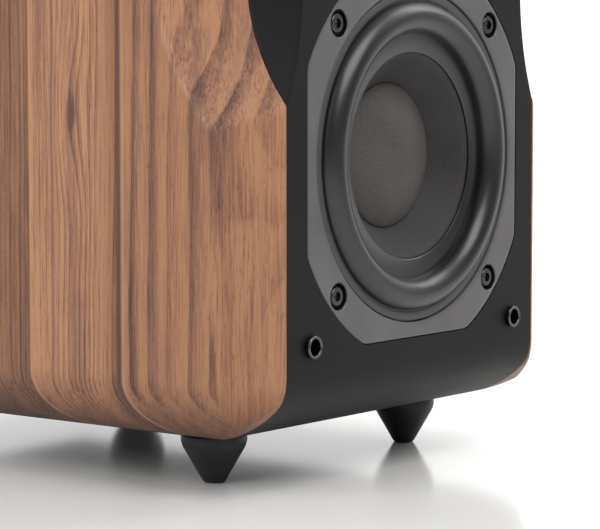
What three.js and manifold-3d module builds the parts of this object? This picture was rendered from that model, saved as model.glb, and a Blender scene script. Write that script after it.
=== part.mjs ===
// A compact powered subwoofer with one forward-firing driver, two carved wooden
// cheeks and a black carcass between them.
//
// Millimetres, +Z up. The pieces are drawn in the cabinet's own axes: x to the right,
// y backwards from the face of the baffle, z upwards from the driver's centre line.
// One group at the end stands the cabinet on z = 0, centred on its own box.

import * as THREE from 'three';
import { mergeVertices } from 'three/addons/utils/BufferGeometryUtils.js';
import Module from 'manifold-3d';

const wasm = await Module();
wasm.setup();

// ---- driving dimensions ------------------------------------------------------------

// Clearance kept between pieces that touch.
const GAP = 0.3;

// Cabinet.
const HALF_WIDTH = 116;
const HALF_HEIGHT = 122.5;
const DEPTH = 290;
const CHEEK_THICKNESS = 19;
const INNER_WALL = 12;
const PANEL = 18;
const BAFFLE = 24;
const BACK_PANEL = 15;
const FRONT_ROLL_RADIUS = 61;
const FRONT_ROLL_DEPTH = 47;
const EDGE_RADIUS = 27;
const CHEEK_LAND = 1.5;
const FACET_DEPTH = 26;

// Waist carved into each side, as a hollow of this radius along a slanted line.
const WAIST_RADIUS = 150;
const WAIST_DEPTH = 9.7;
const WAIST_HEIGHT = 78;
const WAIST_SLANT = THREE.MathUtils.degToRad(28);

// Driver: a 6.5 inch unit on a square of four screws.
const FLANGE_RADIUS = 91.75;
const FLANGE_FLAT = 82.3;
const FLANGE_THICKNESS = 6.5;
const SCREW_SQUARE = 59.5;
const RING_RADIUS = 75.5;
const ROLL_OUTER = 70.5;
const ROLL_INNER = 55.25;
const ROLL_REACH = 5;
const CONE_OUTER = 55;
const CONE_LIP = 50.7;
const CONE_NECK = 17.3;
const CAP_RADIUS = 33.5;
const CONE_TRAVEL_REST = 4.9;
const FRAME_BACK = 56;
const POLE_RADIUS = 15.3;

// Grille sockets and feet.
const SOCKET_RADIUS = 5.2;
const SOCKET_BORE = 3.65;
const SOCKET_REACH = 2.4;
const SOCKET_PLACES = [[79.3, -79.8], [-79.3, -79.8], [72, 84], [-72, 84]];
const FOOT_HEIGHT = 23;
const FOOT_RADIUS = 15;
const FOOT_TIP = 5.3;
const FOOT_X = 74;
const FOOT_Y = [59, 234];

// Rear: port, amplifier plate and what it carries.
const PORT_Z = 66;
const PORT_BORE = 25;
const PORT_WALL = 2.5;
const PORT_FLANGE = 36;
const PORT_LENGTH = 145;
const PLATE_HALF_WIDTH = 75;
const PLATE_BOTTOM = -98;
const PLATE_TOP = 24;
const PLATE_THICKNESS = 3;
const CUTOUT_HALF_WIDTH = 68;
const CUTOUT_BOTTOM = -92;
const CUTOUT_TOP = 18;
const SINK_DEPTH = 16;
const KNOB_PLACES = { volume: [20, 6], crossover: [52, 6] };
const KNOB_RADIUS = 9.5;
const SHAFT_RADIUS = 3;
const PHASE_PLACE = [20, -22];
const LAMP_PLACE = [52, -22];
const JACK_PLACES = { jack_left: [18, -46], jack_right: [36, -46] };
const ROCKER_PLACE = [58, -46];
const ROCKER_TILT = THREE.MathUtils.degToRad(8);
const INLET_PLACE = [36, -78];

// Places that follow from those.
const CARCASS_X = HALF_WIDTH - CHEEK_THICKNESS;
const WALL_X = CARCASS_X - GAP / 2;
const INSIDE_X = WALL_X - INNER_WALL;
const INSIDE_Z = HALF_HEIGHT - PANEL;
const PLATE_FRONT = DEPTH + GAP;
const PLATE_BACK = PLATE_FRONT + PLATE_THICKNESS;
const REAR_REACH = PLATE_BACK + GAP + SINK_DEPTH;

// ---- shapes ------------------------------------------------------------------------

// Joins a closed geometry's corners and turns its faces outwards.
function toSolid(geometry) {
  const bare = geometry.clone();
  bare.deleteAttribute('normal');
  bare.deleteAttribute('uv');
  const merged = mergeVertices(bare, 1e-4);
  const spots = merged.attributes.position.array;
  const corners = merged.index.array;
  const kept = [];
  let volume = 0;
  const [a, b, c] = [new THREE.Vector3(), new THREE.Vector3(), new THREE.Vector3()];
  for (let i = 0; i < corners.length; i += 3) {
    const [p, q, r] = corners.slice(i, i + 3);
    if (p !== q && q !== r && r !== p) {
      kept.push(p, q, r);
      volume += a.fromArray(spots, 3 * p).dot(b.fromArray(spots, 3 * q).cross(c.fromArray(spots, 3 * r)));
    }
  }
  if (volume < 0) kept.reverse();
  return new wasm.Manifold(new wasm.Mesh({
    numProp: 3,
    vertProperties: new Float32Array(spots),
    triVerts: new Uint32Array(kept),
  }));
}

function joined(solids) {
  return solids.reduce((whole, solid) => whole.add(solid));
}

function cut(solid, tools) {
  return tools.reduce((rest, tool) => rest.subtract(tool), solid);
}

function block([x0, x1], [y0, y1], [z0, z1]) {
  const geometry = new THREE.BoxGeometry(x1 - x0, y1 - y0, z1 - z0);
  geometry.translate((x0 + x1) / 2, (y0 + y1) / 2, (z0 + z1) / 2);
  return toSolid(geometry);
}

function outline(points) {
  return new THREE.Shape(points.map(([u, v]) => new THREE.Vector2(u, v)));
}

// An outline pushed along a direction: u, v and w are where its own axes point.
function prism(shape, [from, to], u, v, w, segments = 8) {
  const geometry = new THREE.ExtrudeGeometry(shape, {
    depth: to - from,
    bevelEnabled: false,
    curveSegments: segments,
  });
  geometry.translate(0, 0, from);
  geometry.applyMatrix4(new THREE.Matrix4().makeBasis(u, v, w));
  return toSolid(geometry);
}

const X = new THREE.Vector3(1, 0, 0);
const Y = new THREE.Vector3(0, 1, 0);
const Z = new THREE.Vector3(0, 0, 1);

// Outlines in y and z, x and z, and x and y.
const alongX = (shape, span, segments) => prism(shape, span, Y, Z, X, segments);
const alongY = (shape, span, segments) => prism(shape, span, X, Z, Y, segments);
const alongZ = (shape, span, segments) => prism(shape, span, X, Y, Z, segments);

// A profile of [radius, depth] points turned about the driver's axis, or about a line
// parallel to it. A profile that doesn't reach the axis closes on itself.
function turned(points, segments, [x, z] = [0, 0]) {
  const ends = [points[0], points[points.length - 1]];
  const closed = ends.every(([radius]) => radius === 0) ? points : [...points, points[0]];
  const profile = closed.map(([radius, depth]) => new THREE.Vector2(radius, depth));
  return toSolid(new THREE.LatheGeometry(profile, segments).translate(x, 0, z));
}

// The same about a vertical line, with [radius, height] points.
function upright(points, segments, [x, y]) {
  const closed = points[0][0] === 0 ? points : [...points, points[0]];
  const profile = closed.map(([radius, height]) => new THREE.Vector2(radius, height));
  const geometry = new THREE.LatheGeometry(profile, segments);
  return toSolid(geometry.rotateX(Math.PI / 2).translate(x, y, 0));
}

const rod = (radius, [y0, y1], place, segments = 16) =>
  turned([[0, y0], [radius, y0], [radius, y1], [0, y1]], segments, place);

// A round lead along a smooth path.
function lead(points, radius, steps) {
  const path = new THREE.CatmullRomCurve3(points.map((p) => new THREE.Vector3(...p)));
  const section = new THREE.Shape().absarc(0, 0, radius, 0, 2 * Math.PI);
  return toSolid(new THREE.ExtrudeGeometry(section, { steps, extrudePath: path, curveSegments: 4 }));
}

function mirrored(solid) {
  const geometry = toGeometry(solid);
  return toSolid(geometry.scale(-1, 1, 1));
}

function toGeometry(solid) {
  const { vertProperties, triVerts } = solid.getMesh();
  const geometry = new THREE.BufferGeometry();
  geometry.setAttribute('position', new THREE.BufferAttribute(vertProperties, 3));
  geometry.setIndex(new THREE.BufferAttribute(triVerts, 1));
  geometry.computeVertexNormals();
  return geometry;
}

// Points on a round stretch, from one angle to another in degrees.
function arc([cu, cv], [ru, rv], from, to, steps) {
  return Array.from({ length: steps + 1 }, (_, i) => {
    const angle = THREE.MathUtils.degToRad(from + ((to - from) * i) / steps);
    return [cu + ru * Math.cos(angle), cv + rv * Math.sin(angle)];
  });
}

// ---- materials ---------------------------------------------------------------------

const finish = (color, roughness, metalness = 0) =>
  new THREE.MeshStandardMaterial({ color, roughness, metalness });

const walnut = () => finish(0xa87b58, 0.5);
const blackLacquer = () => finish(0x2b2a2c, 0.6);
const fibreboard = () => finish(0x9a7a55, 0.9);
const wadding = () => finish(0xd8d8d4, 1);
const greyCasting = () => finish(0x5d5b5c, 0.45, 0.7);
const rubber = () => finish(0x2a2a2b, 0.65);
const paperCone = () => finish(0x2c2c2d, 0.85);
const capPaper = () => finish(0x4a4848, 0.7);
const aluminium = () => finish(0xb9bcc0, 0.4, 1);
const copper = () => finish(0xb5653a, 0.4, 1);
const phenolic = () => finish(0xb98a3e, 0.9);
const zincSteel = () => finish(0x9fa2a3, 0.4, 1);
const ferrite = () => finish(0x333336, 0.8);
const blackSteel = () => finish(0x1c1c1e, 0.4, 0.8);
const chrome = () => finish(0xd8d9da, 0.15, 1);
const blackPlastic = () => finish(0x161617, 0.5);
const circuitBoard = () => finish(0x1f5a36, 0.6);
const greenLens = () => finish(0x3fae5a, 0.3);
const brass = () => finish(0xc9a24e, 0.3, 1);

// ---- cabinet -----------------------------------------------------------------------

// Side view: flat face, rolled front edges at top and bottom, square back.
function rolledOutline() {
  const middle = HALF_HEIGHT - FRONT_ROLL_RADIUS;
  const kink = Math.acos(-FRONT_ROLL_DEPTH / FRONT_ROLL_RADIUS);
  const shape = new THREE.Shape();
  shape.moveTo(DEPTH, -HALF_HEIGHT);
  shape.lineTo(DEPTH, HALF_HEIGHT);
  shape.absarc(FRONT_ROLL_DEPTH, middle, FRONT_ROLL_RADIUS, Math.PI / 2, kink, false);
  shape.absarc(FRONT_ROLL_DEPTH, -middle, FRONT_ROLL_RADIUS, -kink, -Math.PI / 2, false);
  shape.closePath();
  return shape;
}

// Front view: rounded long edges.
function roundedOutline(halfWidth, halfHeight, radius) {
  const [u, v] = [halfWidth - radius, halfHeight - radius];
  const shape = new THREE.Shape();
  shape.absarc(u, v, radius, 0, Math.PI / 2, false);
  shape.absarc(-u, v, radius, Math.PI / 2, Math.PI, false);
  shape.absarc(-u, -v, radius, Math.PI, 1.5 * Math.PI, false);
  shape.absarc(u, -v, radius, 1.5 * Math.PI, 2 * Math.PI, false);
  shape.closePath();
  return shape;
}

// Plan view: a narrow land beside the baffle, then a slanted facet to full width.
function facetedOutline() {
  const land = CARCASS_X + CHEEK_LAND;
  return outline([
    [-land, 0], [land, 0], [HALF_WIDTH, FACET_DEPTH], [HALF_WIDTH, DEPTH],
    [-HALF_WIDTH, DEPTH], [-HALF_WIDTH, FACET_DEPTH],
  ]);
}

// What the waist takes from the right side: a hollow round curve that grows inwards as
// it rises, then runs straight up to the top.
function waistCutter() {
  const farOut = 200;
  const section = outline([
    [farOut, farOut],
    [-WAIST_DEPTH, farOut],
    ...arc([WAIST_RADIUS - WAIST_DEPTH, WAIST_HEIGHT], [WAIST_RADIUS, WAIST_RADIUS], 180, 240, 10),
    [farOut, WAIST_HEIGHT - WAIST_RADIUS],
  ]);
  const backwards = new THREE.Vector3(Math.sin(WAIST_SLANT), Math.cos(WAIST_SLANT), 0);
  const outwards = new THREE.Vector3(Math.cos(WAIST_SLANT), -Math.sin(WAIST_SLANT), 0);
  const cutter = prism(section, [-farOut, farOut], outwards, Z, backwards);
  return cutter.translate(CARCASS_X, 0, 0);
}

const waist = waistCutter();
const everyWidth = [-HALF_WIDTH, HALF_WIDTH];
const envelope = cut(
  alongX(rolledOutline(), everyWidth)
    .intersect(alongY(roundedOutline(HALF_WIDTH, HALF_HEIGHT, EDGE_RADIUS), [0, DEPTH], 6))
    .intersect(alongZ(facetedOutline(), [-HALF_HEIGHT, HALF_HEIGHT])),
  [waist, mirrored(waist)],
);

const wholeDepth = [0, DEPTH];
const wholeHeight = [-HALF_HEIGHT, HALF_HEIGHT];
const rightCheek = envelope.intersect(block([CARCASS_X + GAP / 2, HALF_WIDTH], wholeDepth, wholeHeight));

// The driver's seat: a recess for the flange, a hole for the frame, blind screw holes.
function flangeOutline(radius, flat) {
  const corner = Math.asin(flat / radius);
  const shape = new THREE.Shape();
  for (let side = 0; side < 4; side += 1) {
    const turn = (side * Math.PI) / 2;
    shape.absarc(0, 0, radius, turn + Math.PI / 2 - corner, turn + corner, false);
  }
  shape.closePath();
  return shape;
}

const screwPlaces = [[1, 1], [-1, 1], [-1, -1], [1, -1]].map(([i, k]) => [i * SCREW_SQUARE, k * SCREW_SQUARE]);

const baffleSection = outline([
  [-1, -HALF_HEIGHT - 1], [FRONT_ROLL_DEPTH + 1, -HALF_HEIGHT - 1], [FRONT_ROLL_DEPTH + 1, -INSIDE_Z],
  [BAFFLE, -INSIDE_Z], [BAFFLE, INSIDE_Z], [FRONT_ROLL_DEPTH + 1, INSIDE_Z],
  [FRONT_ROLL_DEPTH + 1, HALF_HEIGHT + 1], [-1, HALF_HEIGHT + 1],
]);
const FRAME_HOLE = 74;
const frontBaffle = cut(
  envelope.intersect(alongX(baffleSection, [-WALL_X, WALL_X])),
  [
    alongY(flangeOutline(FLANGE_RADIUS + GAP, FLANGE_FLAT + GAP), [-1, FLANGE_THICKNESS + GAP], 5),
    rod(FRAME_HOLE, [-1, BAFFLE + 1], [0, 0], 32),
    ...screwPlaces.map((place) => rod(2.4, [0, 22], place, 8)),
    ...SOCKET_PLACES.map((place) => rod(4.9, [-1, 12], place, 12)),
  ],
);

const innerSpan = [BAFFLE + GAP, DEPTH - BACK_PANEL - GAP];
const rightWall = block([INSIDE_X, WALL_X], innerSpan, [-INSIDE_Z + GAP, INSIDE_Z - GAP]);
const panelSpan = [FRONT_ROLL_DEPTH + 1 + GAP, DEPTH];
const topPanel = envelope.intersect(block([-WALL_X, WALL_X], panelSpan, [INSIDE_Z, HALF_HEIGHT]));

const footPlaces = FOOT_Y.flatMap((y) => [[FOOT_X, y], [-FOOT_X, y]]);
const STUD_TOP = -HALF_HEIGHT + 13;
const bottomPanel = cut(
  envelope.intersect(block([-WALL_X, WALL_X], panelSpan, [-HALF_HEIGHT, -INSIDE_Z])),
  footPlaces.map((place) => {
    const hole = [[0, -HALF_HEIGHT - 1], [3.4, -HALF_HEIGHT - 1], [3.4, STUD_TOP + 1], [0, STUD_TOP + 1]];
    return upright(hole, 12, place);
  }),
);

const backPanel = cut(
  block([-WALL_X, WALL_X], [DEPTH - BACK_PANEL, DEPTH], [-INSIDE_Z + GAP, INSIDE_Z - GAP]),
  [
    rod(PORT_BORE + PORT_WALL + GAP, [DEPTH - BACK_PANEL - 1, DEPTH + 1], [0, PORT_Z], 24),
    block([-CUTOUT_HALF_WIDTH, CUTOUT_HALF_WIDTH], [DEPTH - BACK_PANEL - 1, DEPTH + 1],
      [CUTOUT_BOTTOM, CUTOUT_TOP]),
  ],
);

const crossBrace = block([-INSIDE_X + GAP, INSIDE_X - GAP], [118, 136], [-20, 20]);
const rightPad = block([INSIDE_X - 16, INSIDE_X - GAP], [145, 268], [-98, 98]);

// ---- driver ------------------------------------------------------------------------

const ledge = 4.2;
const flange = cut(
  alongY(flangeOutline(FLANGE_RADIUS, FLANGE_FLAT), [0, FLANGE_THICKNESS], 5),
  [
    rod(RING_RADIUS, [-1, ledge], [0, 0], 40),
    rod(69, [-1, FLANGE_THICKNESS + 1], [0, 0], 32),
    ...screwPlaces.map((place) => rod(6, [-1, 4], place, 16)),
    ...screwPlaces.map((place) => rod(2.4, [-1, FLANGE_THICKNESS + 1], place, 8)),
  ],
);
// The bowl behind the flange: a conical wall, a shelf for the spider and a back ring.
const bowl = turned([
  [69, ledge + 0.5], [73, ledge + 0.5], [73, 11], [50, 43], [50, FRAME_BACK],
  [25, FRAME_BACK], [25, 52.5], [46, 52.5], [46, 43.5], [43, 43.5], [43, 41], [46.5, 41], [69, 10],
], 32);
const windowDepth = [14, 39];
const driverFrame = cut(flange.add(bowl), [
  block([-80, 80], windowDepth, [-24, 24]),
  block([-24, 24], windowDepth, [-80, 80]),
]);

const clampRing = turned([
  [ROLL_OUTER + 0.3, 0.8], [RING_RADIUS - GAP, 0.8], [RING_RADIUS - GAP, 2.6], [ROLL_OUTER + 0.3, 2.6],
], 40);

// Half-roll surround: outer lip under the ring, one round roll, inner lip on the cone.
const rollMiddle = (ROLL_OUTER + ROLL_INNER) / 2;
const rollHalf = (ROLL_OUTER - ROLL_INNER) / 2;
const lipFront = 2.9;
const rollSkin = 1;
const surround = turned([
  [RING_RADIUS - GAP, lipFront], [RING_RADIUS - GAP, lipFront + rollSkin],
  ...arc([rollMiddle, lipFront + rollSkin], [rollHalf - rollSkin, -(lipFront + ROLL_REACH)], 0, 180, 6),
  [CONE_LIP, lipFront + rollSkin], [CONE_LIP, lipFront],
  ...arc([rollMiddle, lipFront], [rollHalf, -(lipFront + ROLL_REACH)], 180, 0, 6),
], 40);

const cone = turned([
  [CONE_OUTER, CONE_TRAVEL_REST - 0.7], [CONE_OUTER, CONE_TRAVEL_REST + 0.5], [49.6, CONE_TRAVEL_REST + 1],
  [33.9, 21.6], [CONE_NECK + 0.9, 37], [CONE_NECK, 37], [CONE_NECK, 35], [33.5, 20], [49.2, CONE_TRAVEL_REST - 0.7],
], 36);

// Dust cap: a shallow dome whose rim sits just clear of the cone.
const capRimDepth = 19.3;
const capRise = 9;
const capSphere = (CAP_RADIUS ** 2 + capRise ** 2) / (2 * capRise);
const capDepthAt = (radius) => capRimDepth - capRise + capSphere - Math.sqrt(capSphere ** 2 - radius ** 2);
const capRadii = [0, 0.3, 0.55, 0.78, 1].map((share) => share * (CAP_RADIUS - 0.6));
const dustCap = turned([
  ...capRadii.map((radius) => [radius, capDepthAt(radius)]),
  ...capRadii.slice().reverse().map((radius) => [Math.max(radius - 0.5, 0), capDepthAt(radius) + 0.9]),
], 30);

const coilFormer = turned([[16.1, 34], [16.6, 34], [16.6, 68], [16.1, 68]], 24);
const voiceCoil = turned([[16.9, 53], [17.5, 53], [17.5, 66], [16.9, 66]], 24);
const corrugation = (radius) => 39.4 + 0.8 * Math.cos(((radius - 20) * Math.PI) / 3.8);
const spiderRadii = Array.from({ length: 7 }, (_, i) => 20 + i * 3.8);
const spider = turned([
  [17.1, 38.9],
  ...spiderRadii.map((radius) => [radius, corrugation(radius) - 0.5]),
  [46, 39.7], [46, 40.6], [43, 40.6],
  ...spiderRadii.slice().reverse().map((radius) => [radius, corrugation(radius) + 0.3]),
  [17.1, 39.7],
], 24);
const topPlate = turned([
  [18.3, FRAME_BACK + GAP], [40, FRAME_BACK + GAP], [40, FRAME_BACK + 6], [18.3, FRAME_BACK + 6],
], 28);
const magnetSpan = [FRAME_BACK + 6 + GAP, FRAME_BACK + 24];
const magnetRing = turned([
  [24, magnetSpan[0]], [45, magnetSpan[0]], [45, magnetSpan[1]], [24, magnetSpan[1]],
], 28);
const yokeFront = magnetSpan[1] + GAP;
const poleYoke = turned([
  [5, FRAME_BACK], [POLE_RADIUS, FRAME_BACK], [POLE_RADIUS, yokeFront], [42, yokeFront],
  [42, yokeFront + 7], [5, yokeFront + 7],
], 28);
const terminalStrip = block([-10, 10], [45, 54], [-58, -50.3]);
const braidedLead = lead([
  [5, 44.2, -55], [5, 38, -55], [5, 34.5, -46], [5, 34.6, -32], [5, 32.2, -25],
], 0.8, 10);

const SCREW_HEAD = 3.2;
const driverScrew = (place) => {
  const [headFront, headBack] = [0.8, 0.8 + SCREW_HEAD - GAP];
  const hexagon = [[0, -1], [2.3, -1], [2.3, headFront + 1.9], [0, headFront + 1.9]];
  const head = rod(4.25, [headFront, headBack], place, 16);
  return cut(head.add(rod(2, [headBack - 0.2, 21], place, 8)), [turned(hexagon, 6, place)]);
};

// ---- front fittings and feet -------------------------------------------------------

const grilleSocket = (place) => turned([
  [0, 11], [4.6, 11], [4.6, -GAP], [SOCKET_RADIUS, -GAP], [SOCKET_RADIUS, -SOCKET_REACH + 0.4],
  [SOCKET_RADIUS - 0.4, -SOCKET_REACH], [SOCKET_BORE + 0.3, -SOCKET_REACH],
  [SOCKET_BORE, -SOCKET_REACH + 0.4], [SOCKET_BORE, 9], [0, 9],
], 14, place);

// A foot is a tapered plug with a short round shoulder and a stud moulded into it.
const footTip = -HALF_HEIGHT - FOOT_HEIGHT;
const foot = (place) => upright([
  [0, footTip], [FOOT_TIP - 0.7, footTip], [FOOT_TIP, footTip + 0.8],
  [FOOT_RADIUS - 0.6, -HALF_HEIGHT - 6], [FOOT_RADIUS, -HALF_HEIGHT - 4.2], [FOOT_RADIUS, -HALF_HEIGHT - GAP],
  [3, -HALF_HEIGHT - GAP], [3, STUD_TOP], [0, STUD_TOP],
], 20, place);

// ---- rear --------------------------------------------------------------------------

const portInnerEnd = DEPTH - PORT_LENGTH;
const portTube = turned([
  [PORT_BORE, portInnerEnd + 8],
  ...arc([PORT_BORE + 10, DEPTH - 8], [10, 11], 180, 110, 4),
  [PORT_FLANGE - 1.2, DEPTH + 2.6], [PORT_FLANGE, DEPTH + 1.5], [PORT_FLANGE, DEPTH + GAP],
  [PORT_BORE + PORT_WALL, DEPTH + GAP], [PORT_BORE + PORT_WALL, portInnerEnd + 9],
  [PORT_BORE + 6, portInnerEnd], [PORT_BORE + 3.2, portInnerEnd],
], 28, [0, PORT_Z]);

const pillarPlaces = [[62, 13], [-62, 13], [62, -86], [-62, -86]];
const boardSpan = [257, 258.6];
const around = ([x, z], halfX, halfZ, span) => block([x - halfX, x + halfX], span, [z - halfZ, z + halfZ]);
const plateSpan = [PLATE_FRONT - 1, PLATE_BACK + 1];
const ampPlate = cut(
  joined([
    block([-PLATE_HALF_WIDTH, PLATE_HALF_WIDTH], [PLATE_FRONT, PLATE_BACK], [PLATE_BOTTOM, PLATE_TOP]),
    ...pillarPlaces.map((place) => rod(3, [boardSpan[1] + GAP, PLATE_FRONT + 1], place, 8)),
  ]),
  [
    ...Object.values(KNOB_PLACES).map((place) => rod(4.4, plateSpan, place, 12)),
    ...Object.values(JACK_PLACES).map((place) => rod(4.4, plateSpan, place, 12)),
    rod(2.2, plateSpan, LAMP_PLACE, 12),
    around(PHASE_PLACE, 6.5, 3.5, plateSpan),
    around(ROCKER_PLACE, 6.8, 10, plateSpan),
    around(INLET_PLACE, 14, 10.5, plateSpan),
  ],
);

const finCount = 9;
const finPitch = 7.4;
const sinkSpan = [PLATE_BACK + GAP, PLATE_BACK + GAP + 4];
const sinkHeight = [-88, 14];
const sinkLeft = -68;
const fins = Array.from({ length: finCount }, (_, i) => {
  const x = sinkLeft + i * finPitch;
  return block([x, x + 2.6], [sinkSpan[0], REAR_REACH], sinkHeight);
});
const heatSink = joined([
  block([sinkLeft, sinkLeft + (finCount - 1) * finPitch + 2.6], sinkSpan, sinkHeight),
  ...fins,
]);

const ampBoard = block([-65, 65], boardSpan, [-90, 17]);
const capacitor = (x) => rod(11, [226, boardSpan[0] - GAP], [x, -20], 16);
const transformer = upright([
  [12, -INSIDE_Z + GAP], [34, -INSIDE_Z + GAP], [37, -INSIDE_Z + 4], [37, -INSIDE_Z + 25],
  [34, -INSIDE_Z + 29], [12, -INSIDE_Z + 29],
], 24, [-18, 188]);
const speakerLead = lead([
  [0, 54.6, -54], [0, 60, -54], [2, 68, -60], [24, 92, -78], [46, 130, -86], [50, 180, -80], [44, 226, -66], [40, 256.5, -62],
], 1.8, 22);

// A potentiometer behind the plate holds a round shaft, and the knob sits on the shaft.
const knobFront = PLATE_BACK + 0.9;
const knobBack = PLATE_BACK + 14.2;
const shaftSpan = [PLATE_FRONT - 7, knobBack - 3.6];
const potentiometer = (place) => cut(
  joined([
    rod(8, [PLATE_FRONT - 12, PLATE_FRONT - GAP], place, 16),
    rod(4.1, [PLATE_FRONT - 1, PLATE_BACK + 0.4], place, 12),
  ]),
  [rod(SHAFT_RADIUS + GAP, [shaftSpan[0] - GAP, knobBack], place, 12)],
);
const shaft = (place) => rod(SHAFT_RADIUS, shaftSpan, place, 12);
const knob = (place) => {
  const body = turned([
    [0, knobBack], [KNOB_RADIUS - 1.6, knobBack], [KNOB_RADIUS - 0.8, knobBack - 0.8],
    [KNOB_RADIUS, knobFront], [0, knobFront],
  ], 24, place);
  const pointer = block([place[0] - 0.6, place[0] + 0.6], [knobBack - 1, knobBack + 1],
    [place[1] + 3, place[1] + KNOB_RADIUS]);
  return cut(body, [pointer, rod(SHAFT_RADIUS + GAP, [knobFront - 1, shaftSpan[1] + GAP], place, 12)]);
};

// The rocker turns on a level line inside its housing and rests tilted, switched off.
const housingSpan = [PLATE_FRONT - 14, PLATE_BACK + 2];
const rockerHousing = cut(
  joined([
    around(ROCKER_PLACE, 6.5, 9.7, housingSpan),
    around(ROCKER_PLACE, 8, 11.2, [PLATE_BACK + GAP, PLATE_BACK + 2]),
  ]),
  [around(ROCKER_PLACE, 5.3, 8.6, [PLATE_FRONT - 9, PLATE_BACK + 3])],
);
const rockerOutline = outline([
  [-5, -3.4], [-0.4, -7.4], [3.2, -7.4], [2.2, 0], [3.2, 7.4], [-0.4, 7.4], [-5, 3.4],
]);
const rockerPivot = [PLATE_BACK - 0.4, ROCKER_PLACE[1]];
const powerRocker = alongX(rockerOutline, [-4.8, 4.8])
  .rotate([THREE.MathUtils.radToDeg(ROCKER_TILT), 0, 0])
  .translate(ROCKER_PLACE[0], ...rockerPivot);

const PHASE_TRAVEL = 4;
const phaseSwitch = cut(around(PHASE_PLACE, 6.2, 3.2, [PLATE_FRONT - 6, PLATE_BACK]), [
  around(PHASE_PLACE, 5, 1.8, [PLATE_FRONT - 3, PLATE_BACK + 1]),
]);
const phaseLever = around([PHASE_PLACE[0] - PHASE_TRAVEL / 2, PHASE_PLACE[1]], 2.4, 1.4,
  [PLATE_FRONT - 2.5, PLATE_BACK + 2.2]);

// Inlet: a flanged box with a deep recess and three flat blades standing in it.
const recessFloor = PLATE_FRONT - 11;
const blades = [[-7, -1.5], [0, 3.5], [7, -1.5]];
const mainsInlet = joined([
  cut(
    joined([
      around(INLET_PLACE, 13.6, 10.1, [PLATE_FRONT - 14, PLATE_BACK + 1]),
      around(INLET_PLACE, 16, 12.5, [PLATE_BACK + GAP, PLATE_BACK + 2.4]),
    ]),
    [around(INLET_PLACE, 12, 8.4, [recessFloor, PLATE_BACK + 4])],
  ),
  ...blades.map(([dx, dz]) =>
    around([INLET_PLACE[0] + dx, INLET_PLACE[1] + dz], 1, 2, [recessFloor - 1, PLATE_BACK - 1])),
]);

const lineJack = (place) => turned([
  [0, PLATE_FRONT - 10], [4, PLATE_FRONT - 10], [4, PLATE_BACK + GAP], [5.8, PLATE_BACK + GAP],
  [5.8, PLATE_BACK + 2], [4.2, PLATE_BACK + 2], [4.2, PLATE_BACK + 9], [1.8, PLATE_BACK + 9],
  [1.8, PLATE_BACK + 1], [0, PLATE_BACK + 1],
], 14, place);
const statusLamp = turned([
  [0, PLATE_FRONT - 5], [1.8, PLATE_FRONT - 5], [1.8, PLATE_BACK], [1.2, PLATE_BACK + 1], [0, PLATE_BACK + 1.4],
], 12, LAMP_PLACE);

// ---- assembly ----------------------------------------------------------------------

const cabinet = new THREE.Group();
cabinet.position.set(0, -(REAR_REACH - ROLL_REACH) / 2, HALF_HEIGHT + FOOT_HEIGHT);

function add(name, solid, material) {
  const mesh = new THREE.Mesh(toGeometry(solid), material);
  mesh.name = name;
  cabinet.add(mesh);
}

add('front_baffle', frontBaffle, blackLacquer());
add('cheek_right', rightCheek, walnut());
add('cheek_left', mirrored(rightCheek), walnut());
add('inner_wall_right', rightWall, fibreboard());
add('inner_wall_left', mirrored(rightWall), fibreboard());
add('top_panel', topPanel, blackLacquer());
add('bottom_panel', bottomPanel, blackLacquer());
add('back_panel', backPanel, blackLacquer());
add('cross_brace', crossBrace, fibreboard());
add('damping_pad_right', rightPad, wadding());
add('damping_pad_left', mirrored(rightPad), wadding());

add('driver_frame', driverFrame, greyCasting());
add('clamp_ring', clampRing, greyCasting());
add('surround', surround, rubber());
add('cone', cone, paperCone());
add('dust_cap', dustCap, capPaper());
add('coil_former', coilFormer, aluminium());
add('voice_coil', voiceCoil, copper());
add('spider', spider, phenolic());
add('top_plate', topPlate, zincSteel());
add('magnet_ring', magnetRing, ferrite());
add('pole_yoke', poleYoke, zincSteel());
add('terminal_strip', terminalStrip, blackPlastic());
add('braided_lead_right', braidedLead, copper());
add('braided_lead_left', mirrored(braidedLead), copper());
screwPlaces.forEach((place, i) => add(`driver_screw_${i + 1}`, driverScrew(place), blackSteel()));

SOCKET_PLACES.forEach((place, i) => add(`grille_socket_${i + 1}`, grilleSocket(place), chrome()));
footPlaces.forEach((place, i) => add(`foot_${i + 1}`, foot(place), blackPlastic()));

add('port_tube', portTube, blackPlastic());
add('amp_plate', ampPlate, blackSteel());
add('heat_sink', heatSink, aluminium());
add('amp_board', ampBoard, circuitBoard());
add('capacitor_1', capacitor(-34), blackPlastic());
add('capacitor_2', capacitor(-6), blackPlastic());
add('mains_transformer', transformer, phenolic());
add('speaker_lead', speakerLead, copper());
for (const [name, place] of Object.entries(KNOB_PLACES)) {
  add(`${name}_potentiometer`, potentiometer(place), zincSteel());
  add(`${name}_shaft`, shaft(place), aluminium());
  add(`${name}_knob`, knob(place), blackPlastic());
}
add('rocker_housing', rockerHousing, blackPlastic());
add('power_rocker', powerRocker, blackPlastic());
add('phase_switch', phaseSwitch, zincSteel());
add('phase_lever', phaseLever, blackPlastic());
add('mains_inlet', mainsInlet, blackPlastic());
Object.entries(JACK_PLACES).forEach(([name, place]) => add(name, lineJack(place), brass()));
add('status_lamp', statusLamp, greenLens());

export default cabinet;
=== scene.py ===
"""Finished look of a compact powered subwoofer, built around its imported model.

The file is laid out as a Blender add-on and run as a script. Pieces are drawn in
millimetres from the point where the driver's axis meets the face of the baffle:
x to the right, y backwards, z upwards. make_mesh() puts them in the row's frame.
"""

import math

import bmesh
import bpy
import numpy as np
from mathutils import Matrix, Vector


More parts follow.
